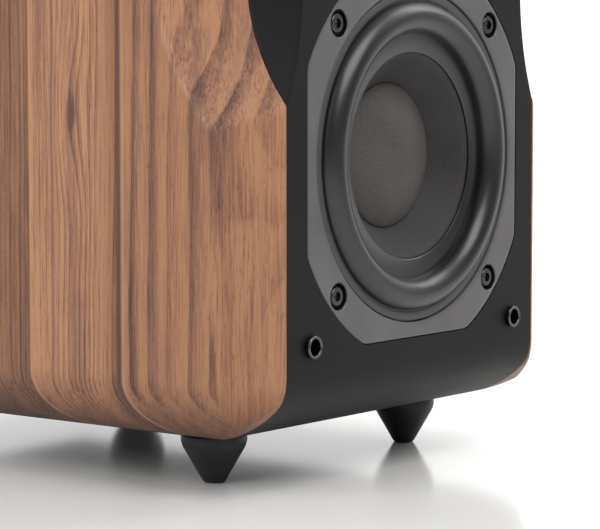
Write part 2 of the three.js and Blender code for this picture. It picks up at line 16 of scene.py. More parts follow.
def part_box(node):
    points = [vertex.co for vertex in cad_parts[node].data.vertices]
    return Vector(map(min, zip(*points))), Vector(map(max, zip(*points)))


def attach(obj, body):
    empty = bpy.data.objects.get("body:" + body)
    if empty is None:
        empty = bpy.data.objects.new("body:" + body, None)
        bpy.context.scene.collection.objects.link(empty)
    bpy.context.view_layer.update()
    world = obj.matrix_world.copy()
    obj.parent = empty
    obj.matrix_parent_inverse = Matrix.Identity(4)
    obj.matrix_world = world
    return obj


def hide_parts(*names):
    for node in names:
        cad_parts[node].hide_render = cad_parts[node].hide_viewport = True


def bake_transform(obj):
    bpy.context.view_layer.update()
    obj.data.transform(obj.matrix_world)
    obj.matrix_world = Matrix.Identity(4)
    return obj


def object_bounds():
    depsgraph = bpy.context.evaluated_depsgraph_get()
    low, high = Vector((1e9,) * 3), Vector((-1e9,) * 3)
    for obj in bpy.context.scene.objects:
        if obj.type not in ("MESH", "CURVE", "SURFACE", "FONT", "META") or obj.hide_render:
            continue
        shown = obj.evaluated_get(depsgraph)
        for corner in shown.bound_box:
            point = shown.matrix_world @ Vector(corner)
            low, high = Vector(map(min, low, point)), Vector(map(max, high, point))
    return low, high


bl_info = {
    "name": "Compact subwoofer",
    "version": (1, 0, 0),
    "blender": (4, 5, 0),
    "location": "View3D > Sidebar > Subwoofer",
    "description": "Builds a walnut-cheeked powered subwoofer around its packed model",
    "category": "Object",
}

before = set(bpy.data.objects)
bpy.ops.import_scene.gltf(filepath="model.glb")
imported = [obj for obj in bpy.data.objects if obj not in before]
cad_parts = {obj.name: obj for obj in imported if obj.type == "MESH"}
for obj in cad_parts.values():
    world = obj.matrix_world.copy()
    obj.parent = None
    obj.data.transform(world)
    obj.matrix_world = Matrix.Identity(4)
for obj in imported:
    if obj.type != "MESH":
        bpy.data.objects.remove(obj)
CAD_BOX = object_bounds()

MM = 0.001
FACE_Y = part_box("front_baffle")[0].y
AXIS_Z = sum(corner.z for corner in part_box("driver_frame")) / 2
ORIGIN = Vector((0, FACE_Y, AXIS_Z))


def node_box(name):
    """A node's lowest and highest corner in millimetres from the drawing's origin."""
    return [(corner - ORIGIN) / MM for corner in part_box(name)]


def seen_centre(name):
    """The middle of a node's box as seen from the front or the back."""
    low, high = node_box(name)
    return (low.x + high.x) / 2, (low.z + high.z) / 2


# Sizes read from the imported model, in millimetres.
HALF_WIDTH = node_box("cheek_right")[1].x
CHEEK_INNER = node_box("cheek_right")[0].x
CARCASS = node_box("front_baffle")[1].x
HALF_HEIGHT = node_box("top_panel")[1].z
DEPTH = node_box("cheek_right")[1].y
PANEL_FRONT = node_box("top_panel")[0].y
INSIDE_Z = node_box("top_panel")[0].z
PLATE_LOW, PLATE_HIGH = node_box("amp_plate")
PLATE_BACK = PLATE_HIGH.y
FLANGE_FLAT = node_box("driver_frame")[1].x
SCREW_SQUARE = sum(corner.x for corner in node_box("driver_screw_1")) / 2
RING_RADIUS = node_box("clamp_ring")[1].x
ROLL_REACH = -node_box("surround")[0].y
CAP_RADIUS = node_box("dust_cap")[1].x

# Sizes of the finished pieces, in millimetres.
FLANGE_RADIUS = 91.75
CORNER_REACH = 1.4
LEDGE = 4.2
SEAT_GAP = 0.3
ROLL_OUTER, ROLL_INNER = 70.5, 55.25
LIP_FRONT, CONE_LIP = 2.9, 47.0
CONE_EDGE, CONE_NECK = 45.8, 17.5


def linear(code):
    """An sRGB hex colour as Blender's linear colour."""
    parts = [int(code[i:i + 2], 16) / 255 for i in (1, 3, 5)]
    light = [c / 12.92 if c <= 0.04045 else ((c + 0.055) / 1.055) ** 2.4 for c in parts]
    return (*light, 1.0)


# ---- settings ----------------------------------------------------------------------


class SubwooferCabinet(bpy.types.PropertyGroup):
    """Sizes of the carved cabinet."""

    edge_radius: bpy.props.FloatProperty(
        name="Edge radius", description="Rounding of the cheeks' long edges",
        default=0.027, unit="LENGTH",
    )
    roll_radius: bpy.props.FloatProperty(
        name="Roll radius", description="Rounding of the baffle's top and bottom",
        default=0.061, unit="LENGTH",
    )
    roll_start: bpy.props.FloatProperty(
        name="Roll softness", description="How gradually the flat face turns into its roll",
        default=0.006, unit="LENGTH",
    )
    facet_depth: bpy.props.FloatProperty(
        name="Facet depth", description="How far back the slanted front facet of a cheek runs",
        default=0.026, unit="LENGTH",
    )
    waist_depth: bpy.props.FloatProperty(
        name="Waist depth", description="Deepest point of the hollow carved into each side",
        default=0.0097, unit="LENGTH",
    )
    waist_radius: bpy.props.FloatProperty(
        name="Waist radius", description="Radius of the hollow carved into each side",
        default=0.150, unit="LENGTH",
    )
    crease: bpy.props.FloatProperty(
        name="Crease softness", description="How far sanding has softened the carved creases",
        default=0.0011, unit="LENGTH",
    )


class SubwooferFinish(bpy.types.PropertyGroup):
    """Colours and grain of the finishes."""

    walnut_light: bpy.props.FloatVectorProperty(
        name="Light walnut", description="Early growth between the rings",
        default=linear("#B58562"), size=4, subtype="COLOR",
    )
    walnut_mid: bpy.props.FloatVectorProperty(
        name="Middle walnut", description="The body of the wood",
        default=linear("#96694F"), size=4, subtype="COLOR",
    )
    walnut_dark: bpy.props.FloatVectorProperty(
        name="Dark walnut", description="The dark line at each ring's edge",
        default=linear("#573B33"), size=4, subtype="COLOR",
    )
    lacquer: bpy.props.FloatVectorProperty(
        name="Black lacquer", description="Colour of the baffle and the carcass",
        default=linear("#121213"), size=4, subtype="COLOR",
    )
    casting: bpy.props.FloatVectorProperty(
        name="Grey paint", description="Colour of the driver's frame",
        default=linear("#686667"), size=4, subtype="COLOR",
    )


class SubwooferStage(bpy.types.PropertyGroup):
    """Camera and light."""

    lens: bpy.props.FloatProperty(
        name="Lens", description="Focal length in millimetres on a 36 mm wide sensor",
        default=152.1, min=20,
    )
    key_power: bpy.props.FloatProperty(
        name="Overhead light", description="Power of the softbox above the front",
        default=15.0, unit="POWER",
    )
    side_power: bpy.props.FloatProperty(
        name="Side light", description="Power of the softbox that faces the near cheek",
        default=15.0, unit="POWER",
    )
    far_power: bpy.props.FloatProperty(
        name="Far light", description="Power of the narrow softbox beyond the far cheek",
        default=5.0, unit="POWER",
    )
    backdrop: bpy.props.FloatProperty(
        name="Backdrop", description="Brightness of the white backdrop beyond the cabinet",
        default=1.4, min=0,
    )
    room: bpy.props.FloatProperty(
        name="Room", description="Brightness of the room behind the camera",
        default=0.3, min=0,
    )


# ---- meshes ------------------------------------------------------------------------


def make_mesh(name, points, faces, crease=32):
    """A closed mesh object from points in millimetres, smooth but for its sharp edges."""
    mesh = bpy.data.meshes.new(name)
    mesh.from_pydata([Vector(p) * MM + ORIGIN for p in points], [], faces)
    return placed(name, mesh, crease)


def placed(name, mesh, crease=32):
    """An object in the scene from a mesh, whose doubled points are merged."""
    shape = bmesh.new()
    shape.from_mesh(mesh)
    bmesh.ops.remove_doubles(shape, verts=shape.verts, dist=1e-7)
    bmesh.ops.recalc_face_normals(shape, faces=shape.faces)
    shape.to_mesh(mesh)
    shape.free()
    obj = bpy.data.objects.new(name, mesh)
    bpy.context.scene.collection.objects.link(obj)
    return smoothed(obj, crease)


def smoothed(obj, crease=32):
    """Smooth shading that keeps edges sharper than crease degrees."""
    obj.data.shade_smooth()
    obj.data.set_sharp_from_angle(angle=math.radians(crease))
    return obj


def settled(obj, material, body="cabinet", stands_for=()):
    """Gives a finished piece its material, its body and what it stands for."""
    obj.data.materials.clear()
    obj.data.materials.append(material)
    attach(obj, body)
    if stands_for:
        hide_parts(*stands_for)
    return obj


def softened(outline, radius, steps=3, closed=False):
    """An outline whose corners are rounded by about that radius."""
    points = [Vector(p) for p in outline]
    count = len(points)
    made = []
    for i, corner in enumerate(points):
        if not closed and i in (0, count - 1):
            made.append(tuple(corner))
            continue
        before, after = points[i - 1] - corner, points[(i + 1) % count] - corner
        reach = min(radius, before.length * 0.45, after.length * 0.45)
        start, end = corner + before.normalized() * reach, corner + after.normalized() * reach
        for k in range(steps + 1):
            t = k / steps
            made.append(tuple(start * (1 - t) ** 2 + corner * 2 * t * (1 - t) + end * t ** 2))
    return made


def arc(centre, radius, first, last, steps):
    """Points on a round stretch, from one angle to another in degrees."""
    angles = np.radians(np.linspace(first, last, steps + 1))
    return [(centre[0] + radius[0] * math.cos(a), centre[1] + radius[1] * math.sin(a)) for a in angles]


def turned(profile, steps, place=(0, 0), upright=False):
    """Points and faces of a [radius, along] profile turned about a line.

    The line runs backwards through place (x, z), or upwards through place (x, y).
    A profile that doesn't start and end on the line closes on itself.
    """
    closed = profile[0][0] > 1e-9 or profile[-1][0] > 1e-9
    rings, points, faces = [], [], []
    for radius, along in profile:
        count = steps if radius > 1e-9 else 1
        rings.append(list(range(len(points), len(points) + count)))
        for k in range(count):
            angle = 2 * math.pi * k / steps
            u, v = place[0] + radius * math.cos(angle), place[1] + radius * math.sin(angle)
            points.append((u, v, along) if upright else (u, along, v))
    pairs = list(zip(rings, rings[1:])) + ([(rings[-1], rings[0])] if closed else [])
    for low, high in pairs:
        for k in range(steps):
            ring = [
                low[k % len(low)], low[(k + 1) % len(low)], high[(k + 1) % len(high)], high[k % len(high)],
            ]
            corners = list(dict.fromkeys(ring))
            if len(corners) > 2:
                faces.append(corners)
    return points, faces


def lofted(sections):
    """Points and faces of closed sections of equal count, joined and capped."""
    count = len(sections[0])
    points = [p for section in sections for p in section]
    faces = [list(range(count)), list(range(len(points) - count, len(points)))]
    for row in range(len(sections) - 1):
        for k in range(count):
            a, b = row * count + k, row * count + (k + 1) % count
            faces.append([a, b, b + count, a + count])
    return points, faces


def pushed(outline, span, axis):
    """Points and faces of an outline pushed along one axis from span[0] to span[1]."""
    order = {"x": (2, 0, 1), "y": (0, 2, 1), "z": (0, 1, 2)}[axis]
    sections = []
    for level in span:
        flat = [(u, v, level) for u, v in outline]
        sections.append([tuple(p[i] for i in order) for p in flat])
    return lofted(sections)


def block_outline(low, high, radius=0.0, steps=4):
    """A rectangle, with round corners where a radius is given."""
    corners = [(low[0], low[1]), (high[0], low[1]), (high[0], high[1]), (low[0], high[1])]
    return softened(corners, radius, steps, closed=True) if radius else corners


def soft_block(name, low, high, radius):
    """A box whose twelve edges are rounded."""
    low, high = Vector(low), Vector(high)
    shape = bmesh.new()
    bmesh.ops.create_cube(shape, size=1)
    for vert in shape.verts:
        vert.co = Vector([low[i] + (vert.co[i] + 0.5) * (high[i] - low[i]) for i in range(3)])
    bmesh.ops.bevel(shape, geom=shape.edges[:], offset=radius, segments=3, profile=0.5, affect="EDGES")
    points = [vert.co[:] for vert in shape.verts]
    faces = [[vert.index for vert in face.verts] for face in shape.faces]
    shape.free()
    return make_mesh(name, points, faces)


def baked(obj):
    """Turns an object's evaluated shape into its plain mesh and drops the modifiers."""
    bpy.context.view_layer.update()
    graph = bpy.context.evaluated_depsgraph_get()
    mesh = bpy.data.meshes.new_from_object(obj.evaluated_get(graph), depsgraph=graph)
    obj.modifiers.clear()
    obj.data = mesh
    return obj


def bevelled(obj, width, segments, sharpest):
    """Rounds edges sharper than a number of degrees by a width in millimetres."""
    soft = obj.modifiers.new("soft", "BEVEL")
    soft.width, soft.segments = width * MM, segments
    soft.limit_method, soft.angle_limit = "ANGLE", math.radians(sharpest)
    return baked(obj)


def combined(obj, others, operation="DIFFERENCE", crease=32):
    """Cuts other closed objects from one, or joins them to it, and removes them."""
    for other in others:
        step = obj.modifiers.new(operation.lower(), "BOOLEAN")
        step.operation = operation
        step.solver = "EXACT"
        step.object = other
    baked(obj)
    for other in others:
        bpy.data.objects.remove(other)
    return smoothed(obj, crease)


def drill(radius, span, place, steps=48):
    """A cutter for a round hole along y."""
    profile = [(0, span[0]), (radius, span[0]), (radius, span[1]), (0, span[1])]
    return make_mesh("drill", *turned(profile, steps, place))


def merged(name, parts):
    """One object from several, which are removed."""
    shape = bmesh.new()
    for part in parts:
        shape.from_mesh(part.data)
    mesh = bpy.data.meshes.new(name)
    shape.to_mesh(mesh)
    shape.free()
    for part in parts:
        bpy.data.objects.remove(part)
    obj = bpy.data.objects.new(name, mesh)
    bpy.context.scene.collection.objects.link(obj)
    return smoothed(obj)


# ---- node trees --------------------------------------------------------------------


def add_node(tree, kind, inputs=None, stops=None, **settings):
    """Adds a node with its settings, links and, on a ramp, its coloured stops."""
    made = tree.nodes.new(kind)
    for name, value in settings.items():
        setattr(made, name, value)
    for key, value in (inputs or {}).items():
        if isinstance(value, bpy.types.NodeSocket):
            tree.links.new(value, made.inputs[key])
        else:
            made.inputs[key].default_value = value
    if stops:
        ramp = made.color_ramp.elements
        while len(ramp) < len(stops):
            ramp.new(1.0)
        for stop, (place, colour) in zip(ramp, stops):
            stop.position = place
            stop.color = colour
    return made


def add_value(tree, kind, inputs, **settings):
    """Adds a shader node by its short name and gives its first live output."""
    numbered = inputs if isinstance(inputs, dict) else dict(enumerate(inputs))
    made = add_node(tree, f"ShaderNode{kind}", numbered, **settings)
    return next(socket for socket in made.outputs if socket.enabled)


def geometry_tree(name, sockets):
    """A Geometry Nodes tree with geometry in and out and the named inputs between."""
    tree = bpy.data.node_groups.new(name, "GeometryNodeTree")
    tree.interface.new_socket("Geometry", in_out="INPUT", socket_type="NodeSocketGeometry")
    tree.interface.new_socket("Geometry", in_out="OUTPUT", socket_type="NodeSocketGeometry")
    for label, (kind, value) in sockets.items():
        made = tree.interface.new_socket(label, in_out="INPUT", socket_type=f"NodeSocket{kind}")
        if value is not None:
            made.default_value = value
    entry = tree.nodes.new("NodeGroupInput")
    return tree, entry


def end_tree(tree, geometry, material):
    """Makes instances real, sets the material and ends the tree."""
    real = add_node(tree, "GeometryNodeRealizeInstances", {"Geometry": geometry})
    coated = add_node(tree, "GeometryNodeSetMaterial", {"Geometry": real.outputs[0], "Material": material})
    add_node(tree, "NodeGroupOutput", {"Geometry": coated.outputs[0]})


def run_tree(obj, tree, values, crease=32):
    """Runs a tree on an object with its inputs set by identifier, and keeps the result."""
    step = obj.modifiers.new(tree.name, "NODES")
    step.node_group = tree
    for item in tree.interface.items_tree:
        if item.item_type == "SOCKET" and item.in_out == "INPUT" and item.name in values:
            step[item.identifier] = values[item.name]
    return smoothed(baked(obj), crease)


def corners_tree(material, upright=False):
    """Copies a piece to four corners, whose two rows may be of different widths."""
    tree, entry = geometry_tree("copies at four corners", {
        "Low row": ("Float", -0.05), "High row": ("Float", 0.05),
        "Low half width": ("Float", 0.05), "High half width": ("Float", 0.05),
    })
    grid = add_node(tree, "GeometryNodeMeshGrid", {
        "Size X": 2.0, "Size Y": 2.0, "Vertices X": 2, "Vertices Y": 2,
    })
    place = add_node(tree, "GeometryNodeInputPosition")
    parts = add_node(tree, "ShaderNodeSeparateXYZ", {0: place.outputs[0]})
    along = add_node(tree, "ShaderNodeMapRange", {
        "Value": parts.outputs["Y"], "From Min": -1.0, "From Max": 1.0,
        "To Min": entry.outputs["Low row"], "To Max": entry.outputs["High row"],
    })
    width = add_node(tree, "ShaderNodeMapRange", {
        "Value": parts.outputs["Y"], "From Min": -1.0, "From Max": 1.0,
        "To Min": entry.outputs["Low half width"], "To Max": entry.outputs["High half width"],
    })
    across = add_node(
        tree, "ShaderNodeMath", {0: parts.outputs["X"], 1: width.outputs[0]}, operation="MULTIPLY",
    )
    corner = add_node(tree, "ShaderNodeCombineXYZ", {
        "X": across.outputs[0], ("Y" if upright else "Z"): along.outputs[0],
    })
    moved = add_node(
        tree, "GeometryNodeSetPosition", {"Geometry": grid.outputs[0], "Position": corner.outputs[0]},
    )
    copies = add_node(tree, "GeometryNodeInstanceOnPoints", {
        "Points": moved.outputs[0], "Instance": entry.outputs["Geometry"],
    })
    end_tree(tree, copies.outputs[0], material)
    return tree


def row_tree(material):
    """Copies a piece along a straight row across the object."""
    tree, entry = geometry_tree("copies in a row", {
        "Count": ("Int", 8), "Pitch": ("Float", 0.007),
    })
    step = add_node(tree, "ShaderNodeCombineXYZ", {"X": entry.outputs["Pitch"]})
    line = add_node(tree, "GeometryNodeMeshLine", {
        "Count": entry.outputs["Count"], "Offset": step.outputs[0],
    })
    copies = add_node(tree, "GeometryNodeInstanceOnPoints", {
        "Points": line.outputs[0], "Instance": entry.outputs["Geometry"],
    })
    end_tree(tree, copies.outputs[0], material)
    return tree


def ring_tree(material):
    """Copies a piece round a line that runs backwards through a centre, each turned to face it."""
    tree, entry = geometry_tree("copies round a ring", {
        "Count": ("Int", 24), "Centre": ("Vector", None),
    })
    points = add_node(
        tree, "GeometryNodePoints", {"Count": entry.outputs["Count"], "Position": entry.outputs["Centre"]},
    )
    index = add_node(tree, "GeometryNodeInputIndex")
    share = add_node(
        tree, "ShaderNodeMath", {0: index.outputs[0], 1: entry.outputs["Count"]}, operation="DIVIDE",
    )
    angle = add_node(tree, "ShaderNodeMath", {0: share.outputs[0], 1: 2 * math.pi}, operation="MULTIPLY")
    turn = add_node(tree, "ShaderNodeCombineXYZ", {"Y": angle.outputs[0]})
    spin = add_node(tree, "FunctionNodeEulerToRotation", {0: turn.outputs[0]})
    copies = add_node(tree, "GeometryNodeInstanceOnPoints", {
        "Points": points.outputs[0], "Instance": entry.outputs["Geometry"], "Rotation": spin.outputs[0],
    })
    end_tree(tree, copies.outputs[0], material)
    return tree


def winding_tree(material):
    """A wire wound in close turns round a line that runs backwards."""
    tree, entry = geometry_tree("wound wire", {
        "Turns": ("Float", 30.0), "Radius": ("Float", 0.017), "Length": ("Float", 0.012),
        "Wire": ("Float", 0.0002), "Start": ("Vector", None),
    })
    coil = add_node(tree, "GeometryNodeCurveSpiral", {
        "Resolution": 32, "Rotations": entry.outputs["Turns"], "Start Radius": entry.outputs["Radius"],
        "End Radius": entry.outputs["Radius"], "Height": entry.outputs["Length"],
    })
    wire = add_node(
        tree, "GeometryNodeCurvePrimitiveCircle", {"Resolution": 6, "Radius": entry.outputs["Wire"]},
    )
    tube = add_node(tree, "GeometryNodeCurveToMesh", {
        "Curve": coil.outputs[0], "Profile Curve": wire.outputs[0], "Fill Caps": True,
    })
    turned_over = add_node(tree, "GeometryNodeTransform", {
        "Geometry": tube.outputs[0], "Rotation": (-math.pi / 2, 0, 0), "Translation": entry.outputs["Start"],
    })
    end_tree(tree, turned_over.outputs[0], material)
    return tree


# ---- materials ---------------------------------------------------------------------


def new_material(name, **surface):
    """A material with one shader, whose plain values are set on its own sockets."""
    material = bpy.data.materials.new(name)
    material.use_nodes = True
    tree = material.node_tree
    tree.nodes.clear()
    shader = add_node(tree, "ShaderNodeBsdfPrincipled", surface)
    add_node(tree, "ShaderNodeOutputMaterial", {"Surface": shader.outputs[0]})
    return material, tree, shader


def millimetres(tree, scale=(1, 1, 1)):
    """Object coordinates in millimetres from the drawing's origin, times a scale."""
    place = add_node(tree, "ShaderNodeTexCoord")
    size = Vector(scale) / MM
    shift = [-ORIGIN[i] * size[i] for i in range(3)]
    return add_node(tree, "ShaderNodeMapping", {
        "Vector": place.outputs["Object"], "Location": shift, "Scale": size,
    }).outputs[0]


def textured(name, light, dark, grain, roughness, bump=0.02, contrast=0.5, **surface):
    """A plain finish with a fine random texture, as moulding, paint or casting leaves.

    grain is the size of the texture in millimetres and bump its height; roughness is
    the smoothest and roughest it gets.
    """
    material, tree, shader = new_material(name, **surface)
    place = millimetres(tree)
    fine = add_node(tree, "ShaderNodeTexNoise", {
        "Vector": place, "Scale": 1 / grain, "Detail": 3.0, "Roughness": 0.6,
    })
    broad = add_node(tree, "ShaderNodeTexNoise", {"Vector": place, "Scale": 1 / 38, "Detail": 2.0})
    grain_tone = add_node(tree, "ShaderNodeMath", {0: fine.outputs[0], 1: broad.outputs[0]}, operation="ADD")
    tone = add_node(tree, "ShaderNodeValToRGB", {
        "Fac": add_node(tree, "ShaderNodeMapRange", {
            "Value": grain_tone.outputs[0], "From Min": 1 - contrast, "From Max": 1 + contrast,
        }).outputs[0],
    }, stops=[(0.0, dark), (1.0, light)])
    tree.links.new(tone.outputs["Color"], shader.inputs["Base Color"])
    rough = add_node(tree, "ShaderNodeMapRange", {
        "Value": grain_tone.outputs[0], "From Min": 1 - contrast, "From Max": 1 + contrast,
        "To Min": roughness[0], "To Max": roughness[1],
    })
    tree.links.new(rough.outputs[0], shader.inputs["Roughness"])
    relief = add_node(tree, "ShaderNodeBump", {
        "Height": fine.outputs[0], "Distance": bump * MM, "Strength": 1.0,
    })
    tree.links.new(relief.outputs[0], shader.inputs["Normal"])
    return material


def grain_noise(tree, across, along, detail=2.0, roughness=0.5):
    """Noise stretched along the trunk; both sizes are in millimetres."""
    return add_node(tree, "ShaderNodeTexNoise", {
        "Vector": millimetres(tree, (1 / across, 1 / across, 1 / along)), "Scale": 1.0,
        "Detail": detail, "Roughness": roughness,
    }).outputs[0]


def oiled_walnut(finish):
    """Solid walnut, carved and oiled: growth layers cut by every carved face.

    Each cheek is glued up from upright boards. In the front board the layers are broad
    and lie across the cheek at the top and along it at the bottom, so the hollow shows
    nested curves and the facet a wide figure; behind it they are fine and upright.
    """
    material, tree, shader = new_material(
        "oiled walnut", **{"IOR": 1.46, "Coat Weight": 0.06, "Coat Roughness": 0.35},
    )
    parts = add_node(tree, "ShaderNodeSeparateXYZ", {0: millimetres(tree)})
    x, y, z = (parts.outputs[i] for i in range(3))
    inward = add_value(
        tree, "Math", (HALF_WIDTH, add_value(tree, "Math", (x,), operation="ABSOLUTE")), operation="SUBTRACT",
    )
    other_side = add_value(
        tree, "Math", (add_value(tree, "Math", (x, 0.0), operation="GREATER_THAN"), 3.7),
        operation="MULTIPLY",
    )
    warp = add_value(
        tree, "Math",
        (
            add_value(tree, "MapRange", (grain_noise(tree, 60, 330), 0.2, 0.8, -4, 4)),
            add_value(tree, "MapRange", (grain_noise(tree, 12, 80), 0.2, 0.8, -1.1, 1.1)),
        ),
        operation="ADD",
    )

    # Layers of the front board, then of the boards behind it, as distances at the side.
    slope = add_value(tree, "MapRange", (z, -70, 30, 2.5, 0.5), interpolation_type="SMOOTHSTEP")
    front = add_value(tree, "Math", (inward, slope, y), operation="MULTIPLY_ADD")
    rear = add_value(tree, "Math", (inward, 1.15, y), operation="MULTIPLY_ADD")
    joint, second = 77.0, 131.0
    behind = add_value(tree, "Math", (rear, joint), operation="GREATER_THAN")

    # A small knot bows the rear board's layers backwards over an area 9 by 30 mm.
    spot = add_node(
        tree, "ShaderNodeCombineXYZ",
        {
            "X": add_value(tree, "Math", (y, 106.0), operation="SUBTRACT"),
            "Y": add_value(tree, "Math", (z, 20.0), operation="SUBTRACT"),
        },
    )
    near = add_node(
        tree, "ShaderNodeVectorMath", {0: spot.outputs[0], 1: (1 / 9, 1 / 30, 0)}, operation="MULTIPLY",
    )
    away = add_node(tree, "ShaderNodeVectorMath", {0: near.outputs[0]}, operation="LENGTH").outputs["Value"]
    bow = add_value(tree, "MapRange", (away, 0, 1.8, -5.5, 0), interpolation_type="SMOOTHSTEP")
    heart = add_value(tree, "MapRange", (away, 0.05, 0.45, 0.9, 0), interpolation_type="SMOOTHSTEP")

    wide = add_value(
        tree, "Math",
        (
            add_value(
                tree, "Math", (add_value(tree, "Math", (front, warp), operation="ADD"), 5.9), operation="ADD",
            ),
            11.0,
        ),
        operation="DIVIDE",
    )
    wide = add_value(tree, "Math", (wide, other_side), operation="ADD")
    fine = add_value(
        tree, "Math",
        (
            add_value(
                tree, "Math", (add_value(tree, "Math", (rear, warp), operation="ADD"), bow), operation="ADD",
            ),
            3.1,
        ),
        operation="DIVIDE",
    )
    fine = add_value(tree, "Math", (fine, other_side), operation="ADD")
    rings = add_node(
        tree, "ShaderNodeMix", {"Factor": behind, "A": wide, "B": fine}, data_type="FLOAT",
    ).outputs[0]
    luck = add_node(
        tree, "ShaderNodeTexWhiteNoise", {"W": add_value(tree, "Math", (rings,), operation="FLOOR")},
        noise_dimensions="1D",
    )
    weakest = add_value(tree, "MapRange", (behind, 0, 1, 0.45, 0.15))
    strength = add_node(tree, "ShaderNodeMapRange", {
        "Value": luck.outputs["Value"], "To Min": weakest, "To Max": 1.0,
    }).outputs[0]
    edge = add_node(
        tree, "ShaderNodeValToRGB", {"Fac": add_value(tree, "Math", (rings,), operation="FRACT")},
        stops=[
            (0.0, (0.5, 0.5, 0.5, 1)), (0.09, (0, 0, 0, 1)), (0.5, (0.08, 0.08, 0.08, 1)),
            (0.8, (0.55, 0.55, 0.55, 1)), (0.93, (0.72, 0.72, 0.72, 1)),
        ],
    )
    calm = add_value(
        tree, "Math",
        (
            add_value(tree, "MapRange", (z, 5, 25, 0.35, 1)),
            add_value(tree, "MapRange", (inward, 0.2, 3, 1, 0.35)),
        ),
        operation="MAXIMUM",
    )
    calm = add_value(tree, "Math", (calm, behind), operation="MAXIMUM")
    layers = add_value(
        tree, "Math", (add_value(tree, "Math", (edge.outputs[0], strength), operation="MULTIPLY"), calm),
        operation="MULTIPLY",
    )

    # Fibres are under a millimetre wide and thirty long; pores are short dark dashes.
    fibre = grain_noise(tree, 0.8, 24, 4.0, 0.62)
    pore = add_value(tree, "MapRange", (grain_noise(tree, 0.5, 4.2, 1.0), 0.58, 0.72, 0, 1))
    shade = add_value(
        tree, "Math", (layers, add_value(tree, "MapRange", (fibre, 0.3, 0.7, -0.34, 0.4))), operation="ADD",
    )
    shade = add_value(
        tree, "Math", (shade, add_value(tree, "MapRange", (grain_noise(tree, 9, 240), 0.3, 0.7, -0.2, 0.34))),
        operation="ADD",
    )
    shade = add_value(tree, "Math", (pore, 0.32, shade), operation="MULTIPLY_ADD")
    shade = add_value(tree, "Math", (shade, heart), operation="ADD")
    colour = add_node(tree, "ShaderNodeValToRGB", {"Fac": shade}, stops=[
        (0.0, tuple(finish.walnut_light)), (0.4, tuple(finish.walnut_mid)), (1.0, tuple(finish.walnut_dark)),
    ]).outputs[0]

    # Purplish streaks; the top and bottom roundings darkened as painted shade; a darker third board;
    # and the two glue lines.
    streak = add_value(tree, "MapRange", (grain_noise(tree, 5, 180), 0.5, 0.72, 0, 0.45))
    colour = add_value(tree, "Mix", {"Factor": streak, "A": colour, "B": linear("#7B5650")}, data_type="RGBA")
    # Painted shade: the wood is multiplied darker towards the top and bottom roundings.
    carved = add_value(
        tree, "MapRange", (add_value(tree, "Math", (z,), operation="ABSOLUTE"), 94, 118, 0, 0.9),
    )
    colour = add_value(
        tree, "Mix", {"Factor": carved, "A": colour, "B": linear("#9A8275")}, data_type="RGBA",
        blend_type="MULTIPLY",
    )
    colour = add_value(
        tree, "Mix",
        {
            "Factor": add_value(tree, "Math", (1.0, behind), operation="SUBTRACT"), "A": colour,
            "B": linear("#ECE8E6"),
        },
        data_type="RGBA", blend_type="MULTIPLY",
    )
    by_joint = add_value(
        tree, "Math", (behind, add_value(tree, "MapRange", (rear, joint, joint + 16, 0.75, 0))),
        operation="MULTIPLY",
    )
    colour = add_value(
        tree, "Mix", {"Factor": by_joint, "A": colour, "B": linear("#A99A94")}, data_type="RGBA",
        blend_type="MULTIPLY",
    )
    third = add_value(tree, "MapRange", (rear, second, second + 1, 0, 0.5))
    colour = add_value(
        tree, "Mix", {"Factor": third, "A": colour, "B": linear("#8C8080")}, data_type="RGBA",
        blend_type="MULTIPLY",
    )
    dark, light = linear("#4F352B"), linear("#C08E69")
    for place, width, tone, share in ((joint + 1.2, 2.6, dark, 0.75), (joint - 1.0, 1.6, light, 0.5),
                                      (second, 0.9, light, 0.6), (second + 1.6, 1.0, dark, 0.4)):
        off = add_value(
            tree, "Math", (add_value(tree, "Math", (rear, place), operation="SUBTRACT"),),
            operation="ABSOLUTE",
        )
        colour = add_value(
            tree, "Mix",
            {"Factor": add_value(tree, "MapRange", (off, 0.3, width, share, 0)), "A": colour, "B": tone},
            data_type="RGBA",
        )
    tree.links.new(colour, shader.inputs["Base Color"])
    tree.links.new(add_value(tree, "MapRange", (shade, 0, 1, 0.42, 0.58)), shader.inputs["Roughness"])
    relief = add_node(
        tree, "ShaderNodeBump",
        {
            "Height": add_value(tree, "Math", (fibre, pore), operation="SUBTRACT"), "Distance": 0.015 * MM,
            "Strength": 0.5,
        },
    )
    tree.links.new(relief.outputs[0], shader.inputs["Normal"])
    return material


def black_lacquer(finish):
    """Satin lacquer on fibreboard: an even, very slightly pebbled black."""
    return textured("satin black lacquer", tuple(finish.lacquer), linear("#0D0D0E"), 0.9, (0.46, 0.56), 0.012,
                    **{"IOR": 1.5, "Specular IOR Level": 0.22})


def grey_casting(finish):
    """Sprayed grey paint on a cast frame: satin, with a fine grain; the screw pockets are made near-black as
    painted shade.
    """
    material = textured(
        "satin grey paint on casting", tuple(finish.casting), linear("#444344"), 0.55, (0.36, 0.46), 0.02,
        **{"IOR": 1.5, "Specular IOR Level": 0.6},
    )
    tree = material.node_tree
    shader = next(node for node in tree.nodes if node.type == "BSDF_PRINCIPLED")
    parts = add_node(tree, "ShaderNodeSeparateXYZ", {0: millimetres(tree)})
    across, up = (
        add_value(tree, "Math", (
            add_value(tree, "Math", (parts.outputs[i],), operation="ABSOLUTE"), SCREW_SQUARE,
        ), operation="SUBTRACT")
        for i in (0, 2)
    )
    away = add_value(
        tree, "Math",
        (
            add_value(
                tree, "Math", (across, across, add_value(tree, "Math", (up, up), operation="MULTIPLY")),
                operation="MULTIPLY_ADD",
            ),
        ),
        operation="SQRT",
    )
    # Painted shade: within about 6.1 mm of each screw's axis the grey is mixed to near-black, as the counterbores
    # fall in shade.
    painted = shader.inputs["Base Color"].links[0].from_socket
    bare = add_value(
        tree, "Mix",
        {
            "Factor": add_value(tree, "MapRange", (away, 6.05, 6.25, 1, 0)), "A": painted,
            "B": linear("#0C0C0D"),
        },
        data_type="RGBA",
    )
    tree.links.new(bare, shader.inputs["Base Color"])
    return material


